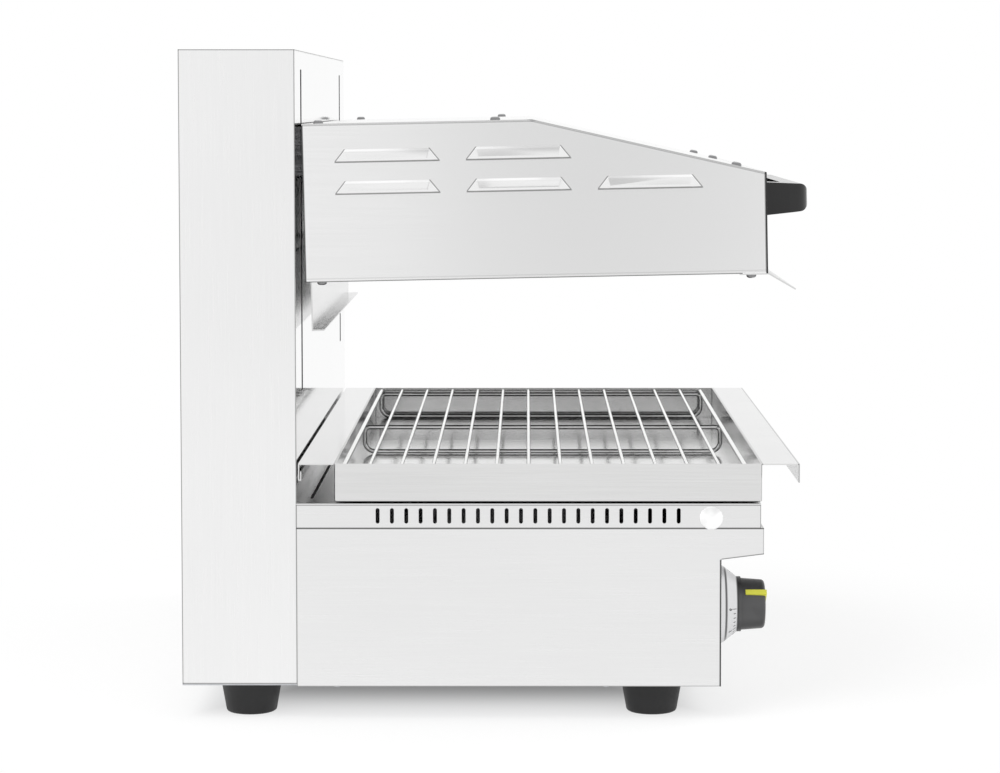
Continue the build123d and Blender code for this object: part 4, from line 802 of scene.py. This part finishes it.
def sheet_lines(node: str, axes: str, **style: float) -> tuple[ShadeLine, ...]:
    """Painted shade lines round the edge of a flat sheet that stands square to an axis.

    Args:
        node: the CAD node.
        axes: the two letters of the sheet's own directions.
        style: width and tone of the lines.

    Returns:
        Four lines, at the node's box.
    """
    low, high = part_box(node)
    lines = []
    for axis in axes:
        index = "xyz".index(axis)
        across = tuple(1.0 if n == index else 0.0 for n in range(3))
        lines += [ShadeLine(across, low[index], **style), ShadeLine(across, high[index], **style)]
    return tuple(lines)


# ---------------- sub-assemblies
class Assembly:
    """Sub-assembly, built first and then dressed."""

    def build(self) -> None:
        """Make the pieces that stand in for CAD nodes: none, unless an assembly says so."""

    def dress(self, dresser: Dresser) -> None:
        """Give every piece its finish."""
        raise NotImplementedError

    @staticmethod
    def folded(body: str, width: float, *nodes: str) -> dict[str, Piece]:
        """Sheets with their folds rounded over, by the CAD nodes that they stand for."""
        return {node: reworked(node, "folded", body, width) for node in nodes}


@dataclass
class BaseCasing(Assembly):
    """Low base with its vent band, plugs, feet and screws.

    Attributes:
        front_y: world Y of the base's face under its lip.
        lip_foot: height where that face meets the lip's underside.
        lip_drop: from the sides' top edge down to the lip's outer corner.
        seam: half width of the painted seam shade lines.
    """

    sheet_round: float = 0.45 * MM
    foot_round: float = 0.8 * MM
    plug_round: float = 0.4 * MM
    front_y: float = 0.246 - 0.426
    lip_foot: float = 0.129
    lip_drop: float = 20.8 * MM
    seam: float = 0.8 * MM

    def build(self) -> None:
        """Round over the sheets' edges, the feet and the plugs."""
        self.sheets = self.folded(
            "cabinet", self.sheet_round, "base_side_left", "base_side_right", "vent_band", "control_panel"
        )
        self.feet = reworked("rubber_feet", "soft", "cabinet", self.foot_round)
        self.plugs = reworked("hole_plugs", "soft", "cabinet", self.plug_round)

    def side_lines(self, name: str) -> tuple[ShadeLine, ...]:
        """Painted shade lines at the seams round a side of the base, along its face and under its lip.

        Args:
            name: the side's CAD node.

        Returns:
            The lines.
        """
        low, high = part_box(name)
        rise = high.z - self.lip_drop - self.lip_foot
        under = Vector((0.0, rise, self.front_y - low.y)).normalized()
        lip = under.dot(Vector((0.0, self.front_y, self.lip_foot)))
        below_lip, at_lip = (UP, low.z, self.lip_foot), (FORWARD, low.y, self.front_y)
        return (
            ShadeLine(UP, low.z, self.seam, 0.5),
            ShadeLine(UP, high.z, 1.1 * MM, 0.9),
            ShadeLine(FORWARD, high.y, self.seam, 0.6),
            ShadeLine(FORWARD, low.y, self.seam, 0.45),
            # painted shade down the face under the lip and along the lip's underside
            ShadeLine(FORWARD, self.front_y, 1.7 * MM, 0.95, (below_lip,)),
            ShadeLine(tuple(under), lip, 1.1 * MM, 0.7, (at_lip,)),
        )

    def dress(self, dresser: Dresser) -> None:
        """Brushed casings with painted shade at the folds, rubber feet and white plugs."""
        for name in ("base_side_left", "base_side_right"):
            dresser.piece(self.sheets[name], Steel(f"steel_{name}", STAINLESS, lines=self.side_lines(name)))
        seams = sheet_lines("vent_band", "yz", width=self.seam, tone=0.6)
        dresser.piece(self.sheets["vent_band"], Steel("steel_vent_band", grey(0.85), lines=seams))
        seams = sheet_lines("control_panel", "xz", width=self.seam)
        dresser.piece(
            self.sheets["control_panel"],
            Steel("steel_control_panel", STAINLESS, grain=Grain.ALONG_X, lines=seams),
        )
        dresser.node("base_top_plate", Steel("steel_top_plate", grey(0.72), 0.22, Grain.ALONG_X))
        dresser.node("base_pan", turned("zinc_base_pan", ZINC, 0.42, uneven=1.0))
        dresser.node("foot_bolts base_screws", turned("zinc_fixings", ZINC, 0.3))
        rubber = Moulded("rubber_black", (0.011, 0.011, 0.0115), roughness=0.5, fineness=1400.0, depth=0.2)
        dresser.piece(self.feet, rubber)
        dresser.piece(self.plugs, Moulded("plug_white", grey(0.93), roughness=0.3, depth=0.06))


@dataclass
class Column(Assembly):
    """Tall rear column and what shows of its fixings."""

    sheet_round: float = 0.5 * MM
    seam: float = 0.8 * MM

    def build(self) -> None:
        """Cover with rounded folds."""
        self.sheets = self.folded("cabinet", self.sheet_round, "column_cover")

    def dress(self, dresser: Dresser) -> None:
        """Brushed cover, mirror-bright front and screwed back, with painted shade lines at the cover's and
        back's seams.
        """
        seams = sheet_lines("column_cover", "yz", width=1.0 * MM, tone=0.65)
        dresser.piece(
            self.sheets["column_cover"],
            Steel("steel_column_cover", grey(0.915), grain=Grain.ALONG_Z, lines=seams),
        )
        dresser.node(
            "column_front", Steel("mirror_column_front", MIRROR, 0.06, Grain.ALONG_Z, depth=0.02, uneven=0.4)
        )
        seams = sheet_lines("column_back", "xz", width=self.seam)
        dresser.node("column_back", Steel("steel_column_back", STAINLESS, 0.36, Grain.ALONG_X, lines=seams))
        dresser.node("column_screws", turned("column_screw_steel", (0.66, 0.66, 0.67), 0.25))


@dataclass
class Head(Assembly):
    """Heated head with its cover, louvred sides, handle and deflector.

    Attributes:
        tilt: nose-up set of the head, in degrees.
        pivot: point that it leans about, as (y, z).
        rear: its rear edge, from the pivot along it, in metres.
        front: its front edge.
        fold: where its roof begins to slope.
        bottom: its lower edge, from the pivot across it.
        top: its roof.
        slope: of the roof's front part, in degrees.
        gauge: thickness of its sheet.
        louvre_first: from the rear edge to the first louvre.
        louvre_sills: rows of louvres, as (height over the lower edge, how many).
        seam: half width of the painted seam shade lines.
    """

    tilt: float = 1.15
    pivot: tuple[float, float] = (-0.0331, 0.41335)
    rear: float = -0.1816
    front: float = 0.1816
    fold: float = -0.0011
    bottom: float = -0.06215
    top: float = 0.06215
    slope: float = 13.84
    gauge: float = 1.2 * MM
    louvre_first: float = 25.3 * MM
    louvre_sills: tuple[tuple[float, int], ...] = ((93.8 * MM, 2), (68.8 * MM, 3))
    hem: float = 2.6 * MM
    seam: float = 1.0 * MM
    handle_round: float = 4.5 * MM
    sheet_round: float = 0.45 * MM

    def line(self, forward: float, up: float, offset: float, **style: float) -> ShadeLine:
        """Painted shade line, or only its plane, square to a direction of the leaning head.

        Args:
            forward: share of the direction that points to the front.
            up: share that points up.
            offset: distance from the pivot along it.
            style: width and tone.

        Returns:
            The line in the row frame.
        """
        lean = math.radians(self.tilt)
        sine, cosine = math.sin(lean), math.cos(lean)
        across = Vector((0.0, sine * up - cosine * forward, sine * forward + cosine * up))
        at_pivot = across.y * self.pivot[0] + across.z * self.pivot[1]
        return ShadeLine(tuple(across), at_pivot + offset, **style)

    def roof_lines(self, inset: float, width: float, top_tone: float) -> tuple[ShadeLine, ShadeLine]:
        """Painted shade lines along the roof's level part and its slope.

        Args:
            inset: how far they lie below its outside.
            width: their half width.
            top_tone: how dark the level one is.

        Returns:
            Both lines.
        """
        slope = math.radians(self.slope)
        across = (math.sin(slope), math.cos(slope))
        roof = self.fold * across[0] + self.top * across[1] - inset
        return (
            self.line(0.0, 1.0, self.top - inset, width=width, tone=top_tone),
            self.line(*across, roof, width=width, tone=0.4),
        )

    def side_lines(self) -> tuple[ShadeLine, ...]:
        """Painted shade lines round a side panel of the head."""
        return (
            *self.roof_lines(self.gauge, self.seam, 0.4),
            self.line(1.0, 0.0, self.front - self.gauge, width=self.seam, tone=0.6),
            self.line(1.0, 0.0, self.rear, width=1.4 * MM, tone=0.9),
            self.line(0.0, 1.0, self.bottom, width=self.seam, tone=0.75),
            # painted shade line above the hem at the lower edge
            self.line(0.0, 1.0, self.bottom + self.hem, width=0.6 * MM, tone=0.14),
        )

    def louvre_rows(self) -> tuple[LouvreRow, ...]:
        """Upper row of two louvres and lower row of three."""
        start = self.line(1.0, 0.0, self.rear + self.louvre_first)
        rows = []
        for rise, count in self.louvre_sills:
            sill = self.line(0.0, 1.0, self.bottom + rise)
            rows.append(LouvreRow(start.across, start.offset, sill.across, sill.offset, count))
        return tuple(rows)

    def cover_lines(self) -> tuple[ShadeLine, ...]:
        """Painted shade lines at the cover's edges, strongest down its front."""
        inset = self.gauge / 2
        front = self.line(1.0, 0.0, self.front - inset, width=1.3 * MM, tone=0.95)
        return front, *self.roof_lines(inset, 0.8 * MM, 0.3)

    def build(self) -> None:
        """Handle and sheets with rounded edges."""
        self.sheets = self.folded(
            "head", self.sheet_round, "head_side_left", "head_side_right", "head_cover", "front_deflector"
        )
        self.handle = reworked("handle", "soft", "head", self.handle_round, segments=3)

    def dress(self, dresser: Dresser) -> None:
        """Brushed casings with painted shade lines and painted louvre shade and highlights, screws with
        painted shade round their heads, bright reflector, dull elements and pale ceramics.
        """
        across = Grain.ALONG_X
        # painted shade lines, painted louvre shade and painted crease highlights
        marks = {"lines": self.side_lines(), "louvres": self.louvre_rows()}
        for finish, name in (
            (Steel("steel_head_side_left", grey(0.875), 0.2, **marks), "head_side_left"),
            (Steel("steel_head_side_right", grey(0.875), 0.2, **marks), "head_side_right"),
            (Steel("steel_head_cover", grey(0.97), 0.28, across, lines=self.cover_lines()), "head_cover"),
            (Steel("steel_deflector", grey(0.76), 0.24, across), "front_deflector"),
        ):
            dresser.piece(self.sheets[name], finish)
        # painted shade on the screw heads' sides, where they turn away from upright
        dome_shade = (Rim(UP, 0.95, 0.5, 0.55),)
        for finish, names in (
            (Steel("steel_head_back", grey(0.92), 0.05, across, depth=0.0), "head_back"),
            (Steel("steel_splash", grey(0.76), 0.2, across), "splash_plate"),
            (Steel("mirror_reflector", MIRROR, 0.12, across, uneven=0.9), "reflector"),
            (turned("head_screw_steel", (0.6, 0.6, 0.61), 0.2, rims=dome_shade), "head_screws"),
            (turned("handle_screw_steel", ZINC, 0.3), "handle_screws"),
            (Sheath("element_sheath_dark", (0.085, 0.08, 0.075)), "heating_elements"),
            (Wool("element_ceramic", (0.78, 0.76, 0.7), fineness=700.0), "element_terminals"),
            (turned("hanger_steel", (0.5, 0.49, 0.47), 0.4, uneven=1.2), "element_hangers"),
            (Wool("mineral_wool_pale", (0.62, 0.58, 0.45)), "insulation"),
            (turned("guard_wire", (0.86, 0.86, 0.855), 0.16), "guard_grille"),
            (Steel("arm_steel", CAST, 0.38, uneven=1.0), "lift_arms head_crossbar"),
        ):
            dresser.node(names, finish)
        black = Moulded("handle_black", (0.005, 0.005, 0.0052), roughness=0.12, depth=0.02)
        dresser.piece(self.handle, black)


class LiftGear(Assembly):
    """Rods, carriage, pulleys, cables and counterweight inside the column."""

    def dress(self, dresser: Dresser) -> None:
        """Ground rods, cast weight, stranded cables, nylon pulleys and bronze bushes."""
        for finish, names in (
            (turned("rod_ground", (0.7, 0.7, 0.71), 0.14), "guide_rods pulley_axles"),
            (turned("bracket_zinc", ZINC, 0.4, uneven=1.0),
             "guide_brackets_lower guide_brackets_upper pulley_brackets carriage"),
            (turned("weight_cast", CAST, 0.55, uneven=1.5, depth=0.4), "counterweight"),
            (Stranded("cable_strands", (0.62, 0.62, 0.63)), "lift_cables"),
            (turned("bush_bronze_oiled", (0.55, 0.36, 0.17), 0.3), "guide_bushes"),
            (Moulded("buffer_rubber", NYLON, roughness=0.6), "bump_stops"),
            (Moulded("pulley_nylon", (0.62, 0.6, 0.54), roughness=0.35), "pulley_left pulley_right"),
        ):
            dresser.node(names, finish)


@dataclass
class Controls(Assembly):
    """Knobs with their bezels, pointers, spindles, regulators and lamps.

    Attributes:
        centres: knob centres as (x, z), in metres.
        face: world Y of the control panel's face.
        cone_foot: radius and height of the foot of a bezel's cone.
        cone_mouth: radius and height of its mouth.
        ink_proud: how far the print stands off the cone.
        first_angle: of the first figure, in degrees from +X.
        sweep: from the first figure to the last.
        figure_along: middle of the figures, up the cone from its foot.
        tick_along: middle of the ticks.
        ticks: how many, both ends counted.
        long_every: how many ticks to a long one.
        long_share: its length in short ones.
    """

    centres: tuple[tuple[float, float], ...] = ((-0.237, 0.083), (0.237, 0.083))
    face: float = -0.180
    cone_foot: tuple[float, float] = (30.0 * MM, 6.5 * MM)
    cone_mouth: tuple[float, float] = (22.25 * MM, 16.3 * MM)
    knob_round: float = 0.7 * MM
    mark_round: float = 0.35 * MM
    ink_proud: float = 0.14 * MM
    figures: str = "0123456"
    first_angle: float = 90.0
    sweep: float = 270.0
    figure_size: float = 4.4 * MM
    figure_along: float = 4.6 * MM
    tick_along: float = 9.0 * MM
    tick_length: float = 2.2 * MM
    tick_width: float = 0.45 * MM
    ticks: int = 31
    long_every: int = 5
    long_share: float = 1.6

    def on_cone(self, centre: tuple[float, float], angle: float, u: float, v: float) -> Vector:
        """Point on the bezel's cone.

        Args:
            centre: the knob's centre as (x, z).
            angle: angle about the spindle in radians, from +X towards +Z as seen from the front.
            u: distance round the cone from that angle, positive clockwise.
            v: distance up the cone from its foot.

        Returns:
            The point in the row frame, just proud of the cone.
        """
        (r0, h0), (r1, h1) = self.cone_foot, self.cone_mouth
        slant = math.hypot(r1 - r0, h1 - h0)
        share = v / slant
        radius, height = r0 + (r1 - r0) * share, h0 + (h1 - h0) * share
        normal_r, normal_h = (h1 - h0) / slant, (r0 - r1) / slant
        radius += normal_r * self.ink_proud
        height += normal_h * self.ink_proud
        turn = angle - u / radius
        return Vector((
            centre[0] + radius * math.cos(turn), self.face - height, centre[1] + radius * math.sin(turn)
        ))

    def print_on(self, flat: Piece, centre: tuple[float, float], share: float, along: float) -> Piece:
        """Wrap a flat mesh, drawn in XY round the origin, onto the bezel's cone.

        Args:
            flat: the mesh object.
            centre: the knob's centre as (x, z).
            share: its place on the scale, from 0 to 1.
            along: its place up the cone from the foot.

        Returns:
            The same object.
        """
        angle = math.radians(self.first_angle - self.sweep * share)
        for vertex in flat.data.vertices:
            vertex.co = self.on_cone(centre, angle, vertex.co.x, along + vertex.co.y)
        flat.matrix_world = Matrix.Identity(4)
        return flat

    def figure(self, text: str) -> Piece:
        """Flat printed figure as a mesh, centred on the origin."""
        bpy.ops.object.text_add(location=(0, 0, 0))
        letter = bpy.context.active_object
        letter.data.body = text
        letter.data.size = self.figure_size
        letter.data.align_x, letter.data.align_y = "CENTER", "CENTER"
        activate(letter)
        bpy.ops.object.convert(target="MESH")
        return bpy.context.view_layer.objects.active

    def tick(self, step: int) -> Piece:
        """Flat printed tick as a mesh, centred on the origin."""
        length = self.tick_length * (1.0 if step % self.long_every else self.long_share)
        return plane(self.tick_width, length)

    def scale(self, side: str, centre: tuple[float, float]) -> Piece:
        """Printed scale of one side's bezel in one piece, round its centre in x and z."""
        printed = [
            self.print_on(self.tick(step), centre, step / (self.ticks - 1), self.tick_along)
            for step in range(self.ticks)
        ] + [
            self.print_on(self.figure(text), centre, index / (len(self.figures) - 1), self.figure_along)
            for index, text in enumerate(self.figures)
        ]
        return settle(joined(printed, f"bezel_scale_{side}"))

    def build(self) -> None:
        """Softened knobs and pointers, and the bezels' printed scales."""
        self.knobs, self.marks, self.scales = [], [], []
        for side, centre in zip(("left", "right"), self.centres):
            body = f"knob_{side}"
            self.knobs.append(reworked(body, "soft", body, self.knob_round, segments=3))
            self.marks.append(reworked(f"knob_mark_{side}", "soft", body, self.mark_round))
            scale = self.scale(side, centre)
            mounted(scale, "cabinet")
            self.scales.append(scale)

    def dress(self, dresser: Dresser) -> None:
        """Matt black knobs with painted shade towards top and bottom, yellow pointers, spun silver bezels
        with painted shade rings and bands, and amber lamps.
        """
        # the knob's rim gives it painted shade where its surface faces up or down
        black = Moulded(
            "knob_black", (0.085, 0.085, 0.087), roughness=0.36, depth=0.06, rims=(Rim(UP, 0.35, 0.9, 0.85),)
        )
        for finish, pieces in (
            (black, self.knobs),
            (Moulded("pointer_yellow", (0.8, 0.79, 0.08), roughness=0.4, depth=0.04), self.marks),
            (Moulded("print_ink", grey(0.05), roughness=0.5, depth=0.02), self.scales),
        ):
            for piece in pieces:
                dresser.piece(piece, finish)
        # painted shade rings at the bezel cone's foot and mouth, and a painted shade band where the cone
        # faces up or down
        heights = (self.cone_foot[1], self.cone_mouth[1])
        bezel_shade_rings = tuple(ShadeLine(FORWARD, self.face - height, 1.3 * MM, 0.8) for height in heights)
        band = (Rim(UP, 0.55, 0.9, 0.45),)
        spun = turned("bezel_spun", (0.76, 0.76, 0.77), 0.2, uneven=0.4, lines=bezel_shade_rings, rims=band)
        dresser.node("knob_bezels", spun)
        dresser.node("spindle_left spindle_right", turned("spindle_zinc", ZINC, 0.3))
        dresser.node("energy_regulators", Moulded("regulator_case", (0.04, 0.04, 0.042), roughness=0.45))
        dresser.node("pilot_lamps", Lens("lamp_lens_amber", (0.75, 0.3, 0.03)))


@dataclass
class Supply(Assembly):
    """Mains entry: gland, nut and terminal block."""

    gland_round: float = 0.5 * MM

    def build(self) -> None:
        """Gland with its moulded edges rounded."""
        self.gland = reworked("cable_gland", "soft", "cabinet", self.gland_round)

    def dress(self, dresser: Dresser) -> None:
        """Black nylon gland and pale terminal block."""
        dresser.piece(self.gland, Moulded("gland_black", NYLON, roughness=0.4))
        dresser.node("gland_nut", Moulded("gland_nut_black", NYLON, roughness=0.45))
        dresser.node("terminal_block", Moulded("block_pale", (0.6, 0.58, 0.52), roughness=0.4))


@dataclass
class DripTray(Assembly):
    """Drip tray with its front and rear wings.

    Attributes:
        lip_inner: world Y where the front wing's lip turns, where painted shade darkens the lip's inner face.
        wall_ends: world Y of the side walls' rear and front ends, where painted shade lines run.
    """

    sheet_round: float = 0.3 * MM
    lip_inner: float = 0.246 - 0.4866
    wall_ends: tuple[float, float] = (0.246 - 0.121, 0.246 - 0.458)

    def build(self) -> None:
        """Tray with rounded edges."""
        self.tray = reworked("drip_tray", "folded", "tray", self.sheet_round)

    def dress(self, dresser: Dresser) -> None:
        """Bright drawn sheet with lengthwise grain and painted shade lines along its bottom edge, the lip's
        inner face and the walls' ends.
        """
        low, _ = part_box("drip_tray")
        lines = (
            # painted shade: bottom edge, the lip's inner face and the walls' ends
            ShadeLine(UP, low.z, 1.0 * MM, 0.35),
            ShadeLine(FORWARD, self.lip_inner, 0.8 * MM, 0.6),
            *(ShadeLine(FORWARD, y, 0.9 * MM, 0.5) for y in self.wall_ends),
        )
        dresser.piece(self.tray, Steel("steel_drip_tray", TRAY, 0.15, depth=0.05, uneven=0.6, lines=lines))


@dataclass
class WireRack(Assembly):
    """Wire rack of twelve thin rods on three loops, with its weld beads.

    Attributes:
        loops: world X of the loops.
        pitch: from one rod to the next.
        middle: world Y midway between the outer rods.
        weld_z: height of the beads' middles.
        bead: size of a weld bead along, across and up, in metres.
    """

    bead: tuple[float, float, float] = (2.1 * MM, 1.5 * MM, 0.9 * MM)
    loops: tuple[float, ...] = (-0.285, 0.0, 0.285)
    rods: int = 12
    pitch: float = 25.08 * MM
    middle: float = 0.246 - 0.28655
    weld_z: float = 201.45 * MM

    def build(self) -> None:
        """Small weld beads where the rods cross the loops."""
        beads = []
        for x in self.loops:
            for step in range(self.rods):
                y = self.middle + self.pitch * (step - (self.rods - 1) / 2)
                bpy.ops.mesh.primitive_uv_sphere_add(
                    segments=8, ring_count=4, radius=1.0, location=(x, y, self.weld_z), scale=self.bead
                )
                bead = bpy.context.active_object
                with editing(bead):
                    bpy.ops.mesh.vertices_smooth(factor=0.3)
                beads.append(bead)
        self.beads = settle(joined(beads, "rack_weld_beads"), smooth=60.0)
        mounted(self.beads, "rack")

    def dress(self, dresser: Dresser) -> None:
        """Bright drawn wire with painted reflection shade towards its edges, and slightly duller welds."""
        # painted reflection shade where the wires' surfaces turn towards these axes
        sides = (Rim(FORWARD, 0.8, 0.98, 0.6),)
        edges = (Rim(UP, 0.45, 0.7, 0.93), Rim(FORWARD, 0.5, 0.8, 0.85))
        dresser.node("rack_rods", turned("rack_wire", (0.92, 0.92, 0.915), 0.16, rims=sides))
        dresser.node("rack_loops", turned("loop_wire", grey(0.7), 0.12, rims=edges))
        dresser.piece(self.beads, turned("weld_steel", (0.6, 0.59, 0.57), 0.32, uneven=1.2))


@dataclass
class Studio:
    """Floor, light, reflector cards and camera.

    Attributes:
        eye: the camera's place, in metres.
        lens: focal length for a 36 mm sensor.
        down: how far the camera looks down, in degrees.
        shift: lens shift across and up, in image widths.
        floor_glow: glow of the floor under the object, kept low as a painted shadow, and beside it.
        floor_share: how much of the lamps' light the near floor gives back.
        shade_middle: world Y of the middle of the painted shadow under the object.
        shade_ratio: width of that shadowed ground over its depth.
        shade_span: from its middle, where the painted shadow begins and ends to lighten.
        fade_span: where the near floor fades into the plain white far one.
        sky: level of the light from all round.
        lamps: place, size and power of each lamp.
        lamp_aim: point that the lamps face.
        cards: place, size and tone of each grey card.
        card_aim: point that the cards face.
    """

    eye: Axis3 = (-2.5, -0.0269, 0.4877)
    lens: float = 101.4
    down: float = 3.6
    shift: tuple[float, float] = (-0.0272, -0.1057)
    floor_size: float = 40.0
    floor_glow: tuple[float, float] = (0.2, 0.7)
    floor_share: float = 0.3
    shade_middle: float = 0.033
    shade_ratio: float = 1.3
    shade_span: tuple[float, float] = (0.155, 0.275)
    fade_span: tuple[float, float] = (0.32, 0.62)
    sky: float = 0.8
    lamps: tuple[tuple[Axis3, float, float], ...] = (
        ((-1.6, 1.0, 2.0), 1.4, 26.0),
        ((0.6, -1.9, 1.9), 1.4, 12.0),
    )
    lamp_aim: Axis3 = (0.0, 0.0, 0.3)
    cards: tuple[tuple[Axis3, tuple[float, float], float], ...] = (
        ((-2.9, -0.17, 0.45), (0.6, 1.3), 0.79),
        ((-0.95, -0.03, 1.8), (0.3, 0.3), 0.55),
        ((0.4, 2.6, 0.9), (0.3, 2.0), 0.2),
    )
    card_aim: Axis3 = (0.0, 0.0, 0.42)

    @staticmethod
    def stage(piece: Piece, name: str, material: bpy.types.Material) -> None:
        """Name a studio piece and give it its material."""
        piece.name = name
        piece.data.materials.append(material)

    def floor(self) -> None:
        """Pale floor that keeps the object's shadow, with a painted shadow where its glow drops under the
        object, and is clear from below.
        """
        made = bpy.data.materials.new("floor_pale")
        tree = blank(made)
        matt = tree.add("BsdfDiffuse", {"Color": (*grey(0.8), 1.0)})
        part = tree.add("BsdfDiffuse", {"Color": (*grey(self.floor_share), 1.0)})
        position = tree.add("TexCoord").outputs["Object"]
        away = tree.add("VectorMath", {0: position}, operation="LENGTH").outputs["Value"]
        split = tree.add("SeparateXYZ", {0: position}).outputs
        off_middle = tree.math("ABSOLUTE", tree.minus(split["Y"], self.shade_middle))
        along = tree.math("ABSOLUTE", split["X"])
        under = tree.math("MAXIMUM", along, tree.times(off_middle, self.shade_ratio))
        # painted shadow: the floor's glow drops towards the middle under the object
        low = tree.glow(1.0, tree.ramp(under, *self.shade_span, *self.floor_glow))
        near = tree.add("AddShader", {0: part.outputs[0], 1: low.outputs[0]})
        both = tree.blend(tree.ramp(away, *self.fade_span, 0.0, 1.0), near, tree.glow(1.0))
        above = tree.blend(tree.seen(), matt, both)
        below = tree.add("NewGeometry").outputs["Backfacing"]
        tree.show(tree.blend(below, above, tree.add("BsdfTransparent")))
        self.stage(plane(self.floor_size, self.floor_size), "studio_floor", made)

    def world(self) -> None:
        """White surroundings that light the object at a plain level."""
        world = bpy.data.worlds.new("studio_world")
        bpy.context.scene.world = world
        tree = blank(world)
        strength = tree.ramp(tree.seen(), 0.0, 1.0, self.sky, 1.0)
        tree.show(tree.add("Background", {"Color": (*grey(1.0), 1.0), "Strength": strength}), "World")

    def light(self) -> None:
        """Soft lamps above, aimed at the object."""
        for index, (place, size, power) in enumerate(self.lamps):
            bpy.ops.object.light_add(type="AREA", location=place)
            lamp = bpy.context.active_object
            lamp.name = f"softbox_{index}"
            lamp.data.size, lamp.data.energy = size, power
            lamp.visible_glossy = False
            lamp.rotation_mode = "QUATERNION"
            lamp.rotation_quaternion = (Vector(self.lamp_aim) - Vector(place)).to_track_quat("-Z", "Y")

    def card(self, index: int, place: Axis3, size: tuple[float, float], tone: float) -> None:
        """Grey card that only polished metal sees, turned to the object.

        Args:
            index: its number.
            place: its middle, in metres.
            size: its width and height.
            tone: its grey.
        """
        card = plane(*size)
        facing = (Vector(self.card_aim) - Vector(place)).to_track_quat("Z", "Y")
        card.matrix_world = Matrix.Translation(place) @ facing.to_matrix().to_4x4()
        for ray in ("camera", "diffuse", "shadow", "transmission", "volume_scatter"):
            setattr(card, f"visible_{ray}", False)
        made = bpy.data.materials.new(f"card_grey_{index}")
        tree = blank(made)
        tree.show(tree.glow(tone))
        self.stage(card, f"studio_card_{index}", made)

    def camera(self) -> None:
        """Long lens at the photograph's viewing angle."""
        bpy.ops.object.camera_add(
            location=self.eye, rotation=(math.radians(90.0 - self.down), 0.0, math.radians(-90.0))
        )
        camera = bpy.context.active_object
        camera.name = "product_camera"
        camera.data.lens = self.lens
        camera.data.sensor_width = SENSOR
        camera.data.shift_x, camera.data.shift_y = self.shift
        camera.data.clip_start, camera.data.clip_end = 0.05, 100.0
        bpy.context.scene.camera = camera

    def build(self) -> None:
        """Everything that isn't part of the object."""
        self.camera()
        self.floor()
        self.world()
        self.light()
        for index, (place, size, tone) in enumerate(self.cards):
            self.card(index, place, size, tone)
        bpy.context.scene.view_settings.view_transform = "Standard"


def main() -> None:
    """Load the frame, build and dress each sub-assembly, and set up the studio."""
    logging.basicConfig(level=logging.INFO, format="%(name)s: %(message)s")
    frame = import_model()
    deselect()
    dresser = Dresser(frame["nodes"])
    for assembly in (
        BaseCasing(), Column(), Head(), LiftGear(), Controls(), Supply(), DripTray(), WireRack(),
    ):
        LOG.info("building %s", type(assembly).__name__)
        assembly.build()
        assembly.dress(dresser)
    Studio().build()
    hidden = {name for name, node in frame["nodes"].items() if node.hide_render}
    for name in sorted(set(frame["nodes"]) - dresser.dressed - hidden):
        LOG.warning("%s has no finish", name)


if __name__ == "__main__":
    main()
